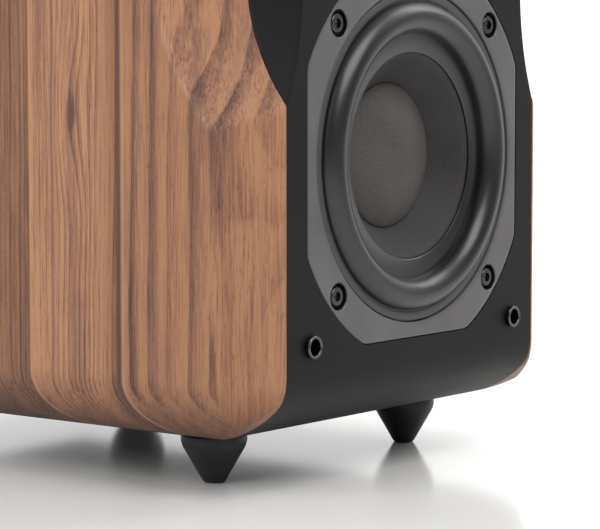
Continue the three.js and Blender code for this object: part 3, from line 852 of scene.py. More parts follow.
def gasket():
    """Pressed gasket ring: dull dark grey with a soft sheen."""
    return textured(
        "pressed gasket", linear("#4A494B"), linear("#3E3D40"), 0.8, (0.42, 0.52), 0.02, **{"IOR": 1.5},
    )


def butyl_rubber():
    """Moulded butyl rubber: soft black with a broad dull shine."""
    return textured("moulded butyl rubber", linear("#0E0D0E"), linear("#0A0A0A"), 0.7, (0.28, 0.36), 0.006,
                    **{"IOR": 1.52, "Specular IOR Level": 0.7})


def coated_pulp():
    """Pressed paper pulp with a doped coat: fibres lie every way, matt and dark."""
    return textured("coated paper pulp", linear("#373435"), linear("#201F20"), 1.6, (0.55, 0.72), 0.07,
                    contrast=0.3, **{"IOR": 1.45})


def bare_pulp():
    """Pressed pulp of the dust cap: lighter, warmer and more mottled than the cone."""
    return textured("pressed paper pulp", linear("#56514E"), linear("#3A3735"), 1.1, (0.6, 0.75), 0.09,
                    contrast=0.3, **{"IOR": 1.45})


def black_oxide():
    """Oiled black oxide on steel screws: nearly black, with a clear metallic shine."""
    return textured("black oxide steel", linear("#5A595B"), linear("#3C3B3D"), 0.8, (0.24, 0.36), 0.006,
                    **{"Metallic": 0.9})


def bright_nickel():
    """Nickel plate, lightly satined, as on contact blades."""
    return textured("bright nickel plate", linear("#CFCDCA"), linear("#B4B2AF"), 0.7, (0.18, 0.3), 0.004,
                    **{"Metallic": 1.0})


def black_nickel():
    """Black nickel on pressed ferrules: a dark mirror that catches light on its rim."""
    return textured("black nickel plate", linear("#6E6C6B"), linear("#575553"), 0.7, (0.2, 0.32), 0.004,
                    **{"Metallic": 1.0})


def moulded_black(name="moulded black ABS", roughness=(0.34, 0.46), bump=0.02):
    """Injection-moulded ABS with a fine spark-eroded texture."""
    return textured(name, linear("#121213"), linear("#0C0C0D"), 0.45, roughness, bump,
                    **{"IOR": 1.53, "Specular IOR Level": 0.4})


def powder_coat():
    """Black powder coat on sheet steel: a low orange-peel about a millimetre across."""
    return textured(
        "black powder coat", linear("#1D1D1E"), linear("#161617"), 1.1, (0.42, 0.56), 0.05, **{"IOR": 1.5},
    )


def black_anodised():
    """Black anodised aluminium, extruded: fine lines run along the fins."""
    material, tree, shader = new_material("black anodised aluminium", **{"Metallic": 0.75})
    lines = add_node(tree, "ShaderNodeTexNoise", {
        "Vector": millimetres(tree, (1 / 0.35, 1 / 0.35, 1 / 60)), "Scale": 1.0, "Detail": 2.0,
    })
    colour = add_node(tree, "ShaderNodeValToRGB", {"Fac": lines.outputs[0]}, stops=[
        (0.3, linear("#1A1A1C")), (0.7, linear("#2C2C2F")),
    ])
    tree.links.new(colour.outputs[0], shader.inputs["Base Color"])
    rough = add_node(tree, "ShaderNodeMapRange", {"Value": lines.outputs[0], "To Min": 0.3, "To Max": 0.5})
    tree.links.new(rough.outputs[0], shader.inputs["Roughness"])
    relief = add_node(tree, "ShaderNodeBump", {"Height": lines.outputs[0], "Distance": 0.01 * MM})
    tree.links.new(relief.outputs[0], shader.inputs["Normal"])
    return material


def fibreboard():
    """Raw medium-density fibreboard: felted brown fibres with darker specks."""
    return textured("raw fibreboard", linear("#A9855C"), linear("#8A6A45"), 1.4, (0.8, 0.95), 0.05)


def spider_cloth():
    """Cotton dipped in phenolic resin: an amber weave of threads 0.4 mm apart."""
    material, tree, shader = new_material("resin-dipped cloth", Roughness=0.75)
    weave = []
    for direction in ("X", "Z"):
        wave = add_node(tree, "ShaderNodeTexWave", {
            "Vector": millimetres(tree), "Scale": 1 / (0.4 * 2 * math.pi) * 2, "Distortion": 0.3,
        }, bands_direction=direction)
        weave.append(wave.outputs["Fac"])
    both = add_node(tree, "ShaderNodeMath", {0: weave[0], 1: weave[1]}, operation="MAXIMUM")
    colour = add_node(tree, "ShaderNodeValToRGB", {"Fac": both.outputs[0]}, stops=[
        (0.1, linear("#8A6320")), (0.9, linear("#C99A45")),
    ])
    tree.links.new(colour.outputs[0], shader.inputs["Base Color"])
    relief = add_node(tree, "ShaderNodeBump", {"Height": both.outputs[0], "Distance": 0.08 * MM})
    tree.links.new(relief.outputs[0], shader.inputs["Normal"])
    return material


def enamelled_copper():
    """Enamelled copper wire: warm red metal under clear varnish."""
    return textured("enamelled copper", linear("#C9744A"), linear("#A85A36"), 0.6, (0.25, 0.38), 0.01,
                    **{"Metallic": 1.0})


def zinc_plate():
    """Bright zinc on steel: pale grey with a faint crystalline cloud."""
    return textured("zinc-plated steel", linear("#B9BCBE"), linear("#8F9395"), 2.4, (0.28, 0.45), 0.01,
                    **{"Metallic": 1.0})


def plain_aluminium():
    """Rolled or turned aluminium, left bare."""
    return textured("bare aluminium", linear("#C9CBCE"), linear("#A9ABAF"), 0.7, (0.3, 0.42), 0.01,
                    **{"Metallic": 1.0})


def ground_ferrite():
    """Sintered ferrite, ground flat: charcoal grey with small pits."""
    return textured("ground ferrite", linear("#3B3B3E"), linear("#2A2A2D"), 1.3, (0.6, 0.8), 0.06)


def wadding():
    """Bonded polyester wadding: white fluff of fibres a few millimetres long."""
    return textured("polyester wadding", linear("#E6E5E0"), linear("#BDBCB6"), 2.6, (0.9, 1.0), 0.9,
                    contrast=0.3, **{"Sheen Weight": 0.3})


def circuit_board():
    """Glass-epoxy board with green solder mask over copper tracks about a millimetre wide."""
    material, tree, shader = new_material("green solder mask", **{"IOR": 1.5, "Roughness": 0.35})
    cells = add_node(tree, "ShaderNodeTexVoronoi", {"Vector": millimetres(tree), "Scale": 1 / 6.5},
                     feature="DISTANCE_TO_EDGE")
    track = add_node(
        tree, "ShaderNodeMapRange", {"Value": cells.outputs["Distance"], "From Min": 0.05, "From Max": 0.09},
    )
    colour = add_node(tree, "ShaderNodeValToRGB", {"Fac": track.outputs[0]}, stops=[
        (0.0, linear("#2F7A4C")), (1.0, linear("#175232")),
    ])
    tree.links.new(colour.outputs[0], shader.inputs["Base Color"])
    relief = add_node(
        tree, "ShaderNodeBump", {"Height": track.outputs[0], "Distance": 0.04 * MM}, invert=True,
    )
    tree.links.new(relief.outputs[0], shader.inputs["Normal"])
    return material


def wound_tape():
    """Amber polyester tape wound over a transformer: each turn laps the last by half."""
    material, tree, shader = new_material("amber polyester tape", **{"IOR": 1.6, "Roughness": 0.25})
    laps = add_node(tree, "ShaderNodeTexWave", {
        "Vector": millimetres(tree), "Scale": 0.045, "Distortion": 1.5, "Detail": 1.0,
    }, wave_type="BANDS", bands_direction="DIAGONAL", wave_profile="SAW")
    colour = add_node(tree, "ShaderNodeValToRGB", {"Fac": laps.outputs["Fac"]}, stops=[
        (0.0, linear("#B98A24")), (0.9, linear("#D9AE45")), (1.0, linear("#7A5A14")),
    ])
    tree.links.new(colour.outputs[0], shader.inputs["Base Color"])
    relief = add_node(tree, "ShaderNodeBump", {"Height": laps.outputs["Fac"], "Distance": 0.1 * MM})
    tree.links.new(relief.outputs[0], shader.inputs["Normal"])
    return material


def gilt():
    """Thin gold flash on brass."""
    return textured("gold-flashed brass", linear("#D9B45F"), linear("#B99243"), 0.8, (0.16, 0.28), 0.005,
                    **{"Metallic": 1.0})


def green_lens():
    """Clear green lens over a light-emitting diode, unlit."""
    return textured("green diode lens", linear("#3FAE5A"), linear("#2B8A44"), 0.9, (0.12, 0.2), 0.004,
                    **{"IOR": 1.55, "Transmission Weight": 0.35})


def red_jacket():
    """Soft vinyl jacket of the twin lead."""
    return textured("soft vinyl jacket", linear("#8A1F1B"), linear("#6E1714"), 0.9, (0.4, 0.55), 0.02)


def polished_floor():
    """Gloss-white acrylic sheet: it mirrors the feet faintly and fades to white."""
    material, tree, shader = new_material("gloss white acrylic", **{"IOR": 1.45})
    smear = add_node(
        tree, "ShaderNodeTexNoise", {"Vector": millimetres(tree), "Scale": 1 / 900, "Detail": 1.0},
    )
    rough = add_node(tree, "ShaderNodeMapRange", {"Value": smear.outputs[0], "To Min": 0.10, "To Max": 0.16})
    tree.links.new(rough.outputs[0], shader.inputs["Roughness"])
    colour = add_node(tree, "ShaderNodeValToRGB", {"Fac": smear.outputs[0]}, stops=[
        (0.3, linear("#F8F6F4")), (0.7, linear("#FBFAF8")),
    ])
    tree.links.new(colour.outputs[0], shader.inputs["Base Color"])
    return material


_materials = {}


def finish_of(kind):
    """One shared material for each finish."""
    settings = bpy.context.scene.subwoofer_finish
    makers = {
        "walnut": lambda: oiled_walnut(settings), "lacquer": lambda: black_lacquer(settings),
        "casting": lambda: grey_casting(settings), "rubber": butyl_rubber, "cone": coated_pulp,
        "cap": bare_pulp, "screw": black_oxide, "nickel": bright_nickel, "plastic": moulded_black,
        "foot": lambda: moulded_black("moulded black foot plastic", (0.4, 0.5), 0.03),
        "powder": powder_coat, "anodised": black_anodised, "fibreboard": fibreboard,
        "spider": spider_cloth, "copper": enamelled_copper, "zinc": zinc_plate,
        "aluminium": plain_aluminium, "ferrite": ground_ferrite, "wadding": wadding,
        "board": circuit_board, "tape": wound_tape, "gilt": gilt, "lens": green_lens,
        "jacket": red_jacket, "floor": polished_floor, "ferrule": black_nickel, "gasket": gasket,
    }
    if kind not in _materials:
        _materials[kind] = makers[kind]()
    return _materials[kind]


def dress(kind, *nodes):
    """Gives CAD nodes that keep their shape a finish."""
    for name in nodes:
        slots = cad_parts[name].data.materials
        slots.clear()
        slots.append(finish_of(kind))


# ---- cabinet -----------------------------------------------------------------------


def soft_min(values, reach):
    """The least of several arrays, with a round transition of that reach."""
    least = values[0]
    for other in values[1:]:
        blend = np.clip(0.5 + 0.5 * (other - least) / reach, 0, 1)
        least = other * (1 - blend) + least * blend - reach * blend * (1 - blend)
    return least


class CabinetShape:
    """The carved outside of the cabinet, as functions of place in millimetres."""

    land = 1.5
    slant = math.radians(28)
    waist_height = 78.0

    def __init__(self, sizes):
        self.edge = sizes.edge_radius / MM
        self.roll = sizes.roll_radius / MM
        self.facet = sizes.facet_depth / MM
        self.waist = sizes.waist_depth / MM
        self.waist_radius = sizes.waist_radius / MM
        self.crease = sizes.crease / MM
        self.roll_depth = 47.0
        self.roll_start = sizes.roll_start / MM
        self.beside = HALF_WIDTH - 19.0

    def waist_at(self, z):
        """How deep the hollow is at a height; negative where it hasn't begun."""
        drop = np.maximum(self.waist_height - z, 0)
        drop = np.minimum(drop, self.waist_radius * 0.98)
        return self.waist - (self.waist_radius - np.sqrt(self.waist_radius ** 2 - drop ** 2))

    def front(self, z):
        """Where the face or its roll lies at a height."""
        over = np.clip(np.abs(z) - (HALF_HEIGHT - self.roll), 0, self.roll)
        rolled = self.roll_depth - np.sqrt(self.roll ** 2 - over ** 2)
        return -soft_min([np.zeros_like(rolled), -rolled], self.roll_start)

    def side(self, y, z):
        """How far out the cheek's carved face lies at a depth and height."""
        over = np.clip(np.abs(z) - (HALF_HEIGHT - self.edge), 0, self.edge)
        flat = HALF_WIDTH - self.edge + np.sqrt(self.edge ** 2 - over ** 2)
        facet = self.beside + self.land + y * (HALF_WIDTH - self.beside - self.land) / self.facet
        waist = self.beside + y * math.tan(self.slant) - self.waist_at(z) / math.cos(self.slant)
        return soft_min([flat, facet, waist], self.crease)

    def cheek_front(self, z):
        """Where a cheek begins: at the face, or where the hollow runs out of its inner side."""
        inside = CHEEK_INNER + 0.08 - self.beside + self.waist_at(z) / math.cos(self.slant)
        hollow = inside / math.tan(self.slant)
        return max(float(self.front(z)), float(hollow))

    def black_front(self, x, z):
        """Where the baffle's face lies, with the hollow at its sides."""
        edge = self.beside - self.waist_at(z) / math.cos(self.slant)
        waist = (np.abs(x) - edge) / math.tan(self.slant)
        return -soft_min([-self.front(z), -waist], self.crease)

    def black_height(self, x):
        """Half the black carcass's height, which follows the cheeks' rounding."""
        over = np.clip(np.abs(x) - (HALF_WIDTH - self.edge), 0, self.edge)
        return HALF_HEIGHT - self.edge + np.sqrt(self.edge ** 2 - over ** 2)

    def levels(self, limit, roll_steps=34, middle_step=1.25):
        """Heights for sections, closer together where the outline turns."""
        start = HALF_HEIGHT - self.edge
        turn = math.asin((limit - start) / self.edge) if limit < HALF_HEIGHT - 1e-6 else math.pi / 2
        upper = start + self.edge * np.sin(np.linspace(0, turn, roll_steps))
        middle = np.linspace(-start, start, int(2 * start / middle_step))
        return np.concatenate([-upper[::-1], middle[1:-1], upper])


def cheek(name, side, shape):
    """A solid walnut board: flat inside, carved outside, softened at its ends."""
    rise = HALF_HEIGHT - shape.edge
    limit = rise + math.sqrt(shape.edge ** 2 - (CHEEK_INNER - (HALF_WIDTH - shape.edge)) ** 2)
    near = np.linspace(0, 1, 84) * 44
    far = 44 + (np.linspace(0, 1, 46) ** 1.15)[1:] * (DEPTH - 44)
    share = np.concatenate([near, far]) / DEPTH
    sections = []
    for z in shape.levels(limit - 0.02):
        first = shape.cheek_front(z)
        edge = max(float(shape.side(first, z)), CHEEK_INNER + 0.05)
        soft = min(0.7, 0.35 * (edge - CHEEK_INNER))
        rear = min(0.7, 0.35 * max(float(shape.side(DEPTH, z)) - CHEEK_INNER, 0.05))
        depths = first + soft + share * (DEPTH - rear - first - soft)
        outer = np.maximum(shape.side(depths, z), CHEEK_INNER + 0.05)
        row = [(CHEEK_INNER, first)]
        row += bend((edge - soft, first), (edge, first), (outer[0], depths[0]))
        row += list(zip(outer[1:-1], depths[1:-1]))
        row += bend((outer[-1], depths[-1]), (outer[-1], DEPTH), (outer[-1] - rear, DEPTH))
        row.append((CHEEK_INNER, DEPTH))
        sections.append([(side * x, y, z) for x, y in row])
    return make_mesh(name, *lofted(sections), crease=40)


def bend(start, corner, end):
    """A short curve of three steps that takes the place of a corner."""
    start, corner, end = (np.array(p, float) for p in (start, corner, end))
    spread = np.linspace(0, 1, 4)
    return [tuple(start * (1 - t) ** 2 + corner * 2 * t * (1 - t) + end * t ** 2) for t in spread]


def flange_edge(angles, radius, flat):
    """Radius of a circle cut flat on four sides, with its corners rounded."""
    folded = np.abs((np.asarray(angles) + math.pi / 4) % (math.pi / 2) - math.pi / 4)
    return soft_min([radius + folded * 0, flat / np.cos(folded)], CORNER_REACH)


def flange_angles():
    """Even angles, with closer ones through the eight rounded corners."""
    corner = math.acos(FLANGE_FLAT / FLANGE_RADIUS)
    corners = [turn * math.pi / 2 + sign * corner + step for turn in range(4) for sign in (-1, 1)
               for step in (-0.03, -0.018, -0.006, 0.006, 0.018, 0.03)]
    return sorted({round(a % (2 * math.pi), 9) for a in [*np.linspace(0, 2 * math.pi, 240, False), *corners]})


def flange_prism(name, gap, span):
    """The flange's outline pushed through a span of depths."""
    angles = flange_angles()
    radii = flange_edge(angles, FLANGE_RADIUS + gap, FLANGE_FLAT + gap)
    outline = [(r * math.cos(a), r * math.sin(a)) for r, a in zip(radii, angles)]
    return make_mesh(name, *pushed(outline, span, "y"))


def baffle(shape):
    """The black baffle, rolled at top and bottom, hollowed at the sides, cut for the driver."""
    half = np.concatenate([np.linspace(0, 80, 11), 80 + np.linspace(0, 1, 44)[1:] * (CARCASS - 80)])
    across = np.concatenate([-half[::-1], half[1:]])
    heights = shape.black_height(across)
    sections = []
    for z in shape.levels(HALF_HEIGHT):
        level = np.sign(z) * np.minimum(abs(z), heights)
        front = shape.black_front(across, level)
        back = PANEL_FRONT - SEAT_GAP if abs(z) > INSIDE_Z else 24.0
        row = [(x, min(y, back - 0.05), lv) for x, y, lv in zip(across, front, level)]
        row += [(x, back, lv) for x, lv in zip(across[::-1], level[::-1])]
        sections.append(row)
    body = make_mesh("baffle", *lofted(sections))
    thickness = node_box("clamp_ring")[1].y + LEDGE
    cutters = [
        flange_prism("seat", SEAT_GAP, (-2, thickness)),
        drill(74, (-2, 26), (0, 0), 96),
    ]
    for i in range(1, 5):
        cutters.append(drill(4.9, (-2, 12), seen_centre(f"grille_socket_{i}")))
    return combined(body, cutters, crease=30)


def case_panel(name, side, shape):
    """Top or bottom panel: level, with the cheeks' rounding carried on at its long edges."""
    across = np.concatenate(
        [np.linspace(-CARCASS, -80, 12), np.linspace(-60, 60, 5), np.linspace(80, CARCASS, 12)],
    )
    outline = [(x, side * float(shape.black_height(x))) for x in across]
    outline += [(CARCASS, side * INSIDE_Z), (-CARCASS, side * INSIDE_Z)]
    depths = [PANEL_FRONT, PANEL_FRONT + 0.01, DEPTH - 0.6, DEPTH - 0.2, DEPTH]
    shrink = [0, 0, 0, 0.2, 0.6]
    sections = [
        [(x, y, z - side * inset * (abs(z) > INSIDE_Z)) for x, z in outline] for y, inset in zip(depths, shrink)
    ]
    return make_mesh(name, *lofted(sections))


def back_board():
    """Back panel with its port hole and the amplifier's cut-out."""
    low, high = node_box("back_panel")
    board = soft_block("back_board", low, high, 0.4)
    plate_margin = 7.0
    window = pushed(
        block_outline(
            (-PLATE_HIGH.x + plate_margin, PLATE_LOW.z + 6), (PLATE_HIGH.x - plate_margin, PLATE_HIGH.z - 6),
            4,
        ),
        (low.y - 2, high.y + 2), "y",
    )
    port = drill(27.8, (low.y - 2, high.y + 2), (0, seen_centre("port_tube")[1]), 64)
    return combined(board, [port, make_mesh("window", *window)])


class SUBWOOFER_OT_cabinet(bpy.types.Operator):
    """Carves the walnut cheeks and builds the black carcass and what lines it"""

    bl_idname = "subwoofer.cabinet"
    bl_label = "Cabinet"

    def execute(self, context):
        shape = CabinetShape(context.scene.subwoofer_cabinet)
        for side, word in ((1, "right"), (-1, "left")):
            board = cheek(f"walnut_cheek_{word}", side, shape)
            settled(board, finish_of("walnut"), stands_for=[f"cheek_{word}"])
        front = baffle(shape)
        front.name = "rolled_baffle"
        settled(front, finish_of("lacquer"), stands_for=["front_baffle"])
        for side, word in ((1, "top"), (-1, "bottom")):
            panel = case_panel(f"case_{word}", side, shape)
            settled(panel, finish_of("lacquer"), stands_for=[f"{word}_panel"])
        settled(back_board(), finish_of("lacquer"), stands_for=["back_panel"])
        dress("fibreboard", "inner_wall_right", "inner_wall_left", "cross_brace")
        for word in ("right", "left"):
            low, high = node_box(f"damping_pad_{word}")
            pad = soft_block(f"wadding_{word}", low, high, 5)
            settled(pad, finish_of("wadding"), stands_for=[f"damping_pad_{word}"])
        return {"FINISHED"}


# ---- driver ------------------------------------------------------------------------


def driver_frame():
    """Cast frame: a chamfered flange cut flat on four sides, and the bowl behind it."""
    angles = flange_angles()
    back, chamfer = 6.5, 0.7
    inner = RING_RADIUS + 0.3
    sections = []
    for angle in angles:
        edge = float(flange_edge(angle, FLANGE_RADIUS, FLANGE_FLAT))
        profile = [
            (69, back), (69, LEDGE + 0.3), (69.3, LEDGE), (inner, LEDGE), (inner, 0.5), (inner + 0.15, 0.15),
            (inner + 0.5, 0), (inner + 3, 0), (edge - chamfer - 1.2, 0), (edge - chamfer, 0),
            (edge - chamfer * 0.3, 0.22), (edge, chamfer), (edge, back),
        ]
        sections.append([(r * math.cos(angle), y, r * math.sin(angle)) for r, y in profile])
    count = len(sections[0])
    points = [p for section in sections for p in section]
    faces = []
    for row in range(len(sections)):
        for k in range(count):
            near, far = row * count, ((row + 1) % len(sections)) * count
            faces.append([near + k, near + (k + 1) % count, far + (k + 1) % count, far + k])
    flange = make_mesh("flange", points, faces, 30)
    bowl_profile = softened([
        (69, 4.7), (73, 4.7), (73, 11), (50, 43), (50, 56), (25, 56), (25, 52.5), (46, 52.5), (46, 43.5),
        (43, 43.5), (43, 41), (46.5, 41), (69, 10),
    ], 0.8, 2, closed=True)
    bowl = make_mesh("bowl", *turned(bowl_profile, 96))
    windows = [
        soft_block("window", (-80, 14, -24), (80, 39, 24), 3),
        soft_block("window", (-24, 14, -80), (24, 39, 80), 3),
    ]
    bowl = combined(bowl, windows)
    pockets = []
    for x in (-SCREW_SQUARE, SCREW_SQUARE):
        for z in (-SCREW_SQUARE, SCREW_SQUARE):
            pocket = [(0, -1), (6.5, -1), (6.5, -0.01), (6.0, 0.5), (6.0, 4.0), (2.4, 4.0), (2.4, 8), (0, 8)]
            pockets.append(make_mesh("pocket", *turned(pocket, 50, (x, z))))
    flange = combined(flange, [merged("pockets", pockets)], crease=30)
    return combined(flange, [bowl], operation="UNION", crease=30)


def surround_profile():
    """Half-roll of rubber: flat outer lip, one round roll, flat inner lip on the cone."""
    skin = 1.0
    middle, half = (ROLL_OUTER + ROLL_INNER) / 2, (ROLL_OUTER - ROLL_INNER) / 2
    height = LIP_FRONT + ROLL_REACH
    front = [(RING_RADIUS, LIP_FRONT), (ROLL_OUTER + 0.22, LIP_FRONT), (ROLL_OUTER + 0.22, 1.35)]
    front += arc((middle, LIP_FRONT), (half, -height), 11.7, 180, 28)
    front += [
        (ROLL_INNER - 0.9, LIP_FRONT + 0.1), (CONE_LIP + 0.5, LIP_FRONT + 0.1), (CONE_LIP, LIP_FRONT + 0.5),
    ]
    back = [(CONE_LIP, LIP_FRONT + skin)]
    back += arc((middle, LIP_FRONT + skin), (half - skin, -height), 180, 0, 28)
    back += [(RING_RADIUS, LIP_FRONT + skin)]
    return front + back


def radial_follow(obj):
    """Bakes a piece's placement into its mesh; the piece runs from the cabinet at its rim to the cone at its
    middle.
    """
    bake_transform(obj)


def flexible(obj, kind, nodes):
    """Finishes a piece that flexes between the frame and the cone."""
    obj.data.materials.clear()
    obj.data.materials.append(finish_of(kind))
    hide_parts(*nodes)
    radial_follow(obj)


def cone_depth(radius):
    """Depth of the cone's front; it flares like a trumpet's bell."""
    share = (CONE_EDGE - radius) / (CONE_EDGE - CONE_NECK)
    return 4.5 + 31.1 * share - 0.3 * math.sin(math.pi * share)


def cone_profile():
    """Cone with a little flare, a flat rim under the surround's lip and a neck."""
    front, back = [], []
    for radius in np.linspace(CONE_EDGE, CONE_NECK, 14):
        front.append((radius, cone_depth(radius)))
        back.append((radius + 0.8, cone_depth(radius) + 0.95))
    rim = [(54.9, 4.3), (54.9, 5.4), (CONE_EDGE + 1.2, 5.5)]
    return [*front[::-1], (CONE_EDGE + 0.8, 4.25)] + rim + [*back]


def cap_profile():
    """Dust cap: a round dome with a turned-down rim that sits on the cone."""
    radius = CAP_RADIUS
    rise = 11.0
    seat = cone_depth(radius + 0.25)
    apex = seat - 0.9 - rise
    sphere = (radius ** 2 + rise ** 2) / (2 * rise)
    front, back = [], []
    for share in np.linspace(0, 1, 22):
        r = share * radius
        depth = apex + sphere - math.sqrt(sphere ** 2 - r ** 2)
        front.append((r, depth))
        back.append((max(r - 1.0, 0), depth + 0.8))
    rim = [(radius + 0.25, seat - 0.45), (radius + 0.1, seat + 0.3), (radius - 0.7, seat + 0.6)]
    return front + rim + back[::-1]


def spider_profile():
    """Corrugated disc with a flat rim and a collar on the former."""
    radii = np.linspace(20, 42.8, 90)
    wave = 39.5 + 0.75 * np.cos((radii - 20) * math.pi / 1.9)
    front = [(17.15, 38.7)] + [(r, w - 0.25) for r, w in zip(radii, wave)] + [(46, 39.7)]
    back = [(46, 40.5), (43, 40.5), *[(r, w + 0.25) for r, w in zip(radii[::-1], wave[::-1])], (17.15, 39.6)]
    return front + back


def screw_body():
    """Cap screw: a round head with a six-sided socket, and a plain shank."""
    low, high = node_box("driver_screw_1")
    profile = softened([(0, low.y), (3.8, low.y), (4.25, low.y + 0.45), (4.25, low.y + 2.9), (2, low.y + 2.9),
                        (2, high.y - 1), (1.4, high.y), (0, high.y)], 0.15, 2)
    body = make_mesh("screw", *turned(profile, 40))
    socket = [(0, -1), (2.35, -1), (2.35, low.y + 1.9), (0, low.y + 2.9)]
    return combined(body, [make_mesh("hexagon", *turned(socket, 6))], crease=25)


class SUBWOOFER_OT_driver(bpy.types.Operator):
    """Builds the driver: frame, ring, surround, cone, cap, coil, spider, magnet and screws"""

    bl_idname = "subwoofer.driver"
    bl_label = "Driver"

    def execute(self, context):
        casting = driver_frame()
        casting.name = "cast_frame"
        settled(casting, finish_of("casting"), stands_for=["driver_frame"])
        inner, outer = ROLL_OUTER + 0.3, RING_RADIUS - 0.4
        ring = softened(
            [(inner, 1.1), (inner + 1.2, 0.8), (outer, 0.8), (outer, 2.6), (inner, 2.6)], 0.35, 3,
            closed=True,
        )
        settled(make_mesh("clamping_ring", *turned(ring, 160)), finish_of("gasket"),
                stands_for=["clamp_ring"])
        roll = make_mesh("rubber_roll", *turned(surround_profile(), 180), crease=50)
        flexible(roll, "rubber", ["surround"])
        settled(
            make_mesh("paper_cone", *turned(cone_profile(), 160), crease=50), finish_of("cone"), "cone_body",
            ["cone"],
        )
        settled(make_mesh("domed_cap", *turned(cap_profile(), 128), crease=50), finish_of("cap"), "cone_body",
                ["dust_cap"])
        spider = make_mesh("corrugated_spider", *turned(spider_profile(), 96), crease=60)
        flexible(spider, "spider", ["spider"])
        self.motor()
        screws = screw_body()
        tree = corners_tree(finish_of("screw"))
        run_tree(screws, tree, {
            "Low row": -SCREW_SQUARE * MM, "High row": SCREW_SQUARE * MM,
            "Low half width": SCREW_SQUARE * MM, "High half width": SCREW_SQUARE * MM,
        }, crease=25)
        screws.name = "frame_screws"
        settled(
            screws, finish_of("screw"),
            stands_for=[f"driver_screw_{i}" for i in range(1, 5)],
        )
        return {"FINISHED"}

    def motor(self):
        """The coil rides on the cone; the magnet assembly is fixed behind the frame."""
        dress("aluminium", "coil_former")
        low, high = node_box("voice_coil")
        coil = make_mesh("wound_coil", *turned([(0, 0), (1, 0), (0, 1)], 3))
        run_tree(coil, winding_tree(finish_of("copper")), {
            "Turns": 42.0, "Radius": 17.2 * MM, "Length": (high.y - low.y - 0.5) * MM, "Wire": 0.16 * MM,
            "Start": ORIGIN + Vector((0, low.y + 0.25, 0)) * MM,
        }, crease=60)
        settled(coil, finish_of("copper"), "cone_body", ["voice_coil"])
        rings = {
            "front_plate": ("top_plate", "zinc", "zinc_steel", 18.3, 40.0, 0.5),
            "ferrite_ring": ("magnet_ring", "ferrite", "ferrite", 24.0, 45.0, 1.0),
        }
        for name, (node, kind, slot, inner, outer, soft) in rings.items():
            low, high = node_box(node)
            profile = softened(
                [(inner, low.y), (outer, low.y), (outer, high.y), (inner, high.y)], soft, 3, closed=True,
            )
            settled(make_mesh(name, *turned(profile, 96)), finish_of(kind), stands_for=[node])
        low, high = node_box("pole_yoke")
        shelf = high.y - 7
        profile = softened([(5, low.y), (15.3, low.y), (15.3, shelf), (42, shelf), (42, high.y), (5, high.y)],
                           0.6, 3, closed=True)
        settled(make_mesh("pole_and_back_plate", *turned(profile, 96)), finish_of("zinc"),
                stands_for=["pole_yoke"])
        dress("plastic", "terminal_strip")
        for word in ("right", "left"):
            self.braid(word)

    def braid(self, word):
        """A braided lead that runs from the coil at one end to the frame at the other."""
        side = 1 if word == "right" else -1
        path = [(5, 44.2, -55), (5, 38, -55), (5, 34.5, -46), (5, 34.6, -32), (5, 32.2, -25)]
        lead = tube(f"braid_{word}", [(side * x, y, z) for x, y, z in path], 0.75, 10, 40)
        flexible(lead, "copper", [f"braided_lead_{word}"])


def tube(name, path, radius, sides, steps):
    """A round lead along a smooth path through points in millimetres."""
    curve = bpy.data.curves.new(name, "CURVE")
    curve.dimensions = "3D"
    spline = curve.splines.new("BEZIER")
    spline.bezier_points.add(len(path) - 1)
    for point, place in zip(spline.bezier_points, path):
        point.co = Vector(place) * MM + ORIGIN
        point.handle_left_type = point.handle_right_type = "AUTO"
    spline.resolution_u = max(2, steps // len(path))
    curve.bevel_depth = radius * MM
    curve.bevel_resolution = sides // 2 - 1
    curve.use_fill_caps = True
    line = bpy.data.objects.new(name, curve)
    bpy.context.scene.collection.objects.link(line)
    bpy.context.view_layer.update()
    graph = bpy.context.evaluated_depsgraph_get()
    mesh = bpy.data.meshes.new_from_object(line.evaluated_get(graph), depsgraph=graph)
    bpy.data.objects.remove(line)
    return placed(name, mesh)


# ---- front fittings and feet -------------------------------------------------------


class SUBWOOFER_OT_fittings(bpy.types.Operator):
    """Puts in the grille sockets and the feet"""

    bl_idname = "subwoofer.fittings"
    bl_label = "Sockets and feet"

    def execute(self, context):
        low, high = node_box("grille_socket_1")
        reach, radius = low.y, (high.x - low.x) / 2
        bore = 3.65
        profile = softened(
            [
                (0, high.y), (4.6, high.y), (4.6, -0.3), (radius, -0.3), (radius, reach + 0.35),
                (radius - 0.4, reach), (bore + 0.35, reach), (bore, reach + 0.4), (bore, 9), (0, 9),
            ],
            0.18, 3,
        )
        socket = make_mesh("grille_ferrules", *turned(profile, 48), crease=35)
        below, above = seen_centre("grille_socket_1"), seen_centre("grille_socket_3")
        run_tree(socket, corners_tree(finish_of("ferrule")), {
            "Low row": below[1] * MM, "High row": above[1] * MM,
            "Low half width": below[0] * MM, "High half width": above[0] * MM,
        })
        settled(
            socket, finish_of("ferrule"),
            stands_for=[f"grille_socket_{i}" for i in range(1, 5)],
        )

        low, high = node_box("foot_1")
        rear = node_box("foot_3")
        radius, seat = (high.x - low.x) / 2, -HALF_HEIGHT - SEAT_GAP
        profile = softened([
            (0, low.z), (4.4, low.z), (5.3, low.z + 0.9), (radius - 0.9, seat - 6.4), (radius, seat - 3.6),
            (radius, seat - 0.8), (radius - 0.8, seat), (3, seat), (3, high.z), (0, high.z),
        ], 0.5, 3)
        foot = make_mesh("tapered_feet", *turned(profile, 72, (0, 0), upright=True), crease=35)
        run_tree(foot, corners_tree(finish_of("foot"), upright=True), {
            "Low row": (low.y + high.y) / 2 * MM, "High row": (rear[0].y + rear[1].y) / 2 * MM,
            "Low half width": (low.x + high.x) / 2 * MM, "High half width": (low.x + high.x) / 2 * MM,
        })
        settled(foot, finish_of("foot"), stands_for=[f"foot_{i}" for i in range(1, 5)])
        return {"FINISHED"}


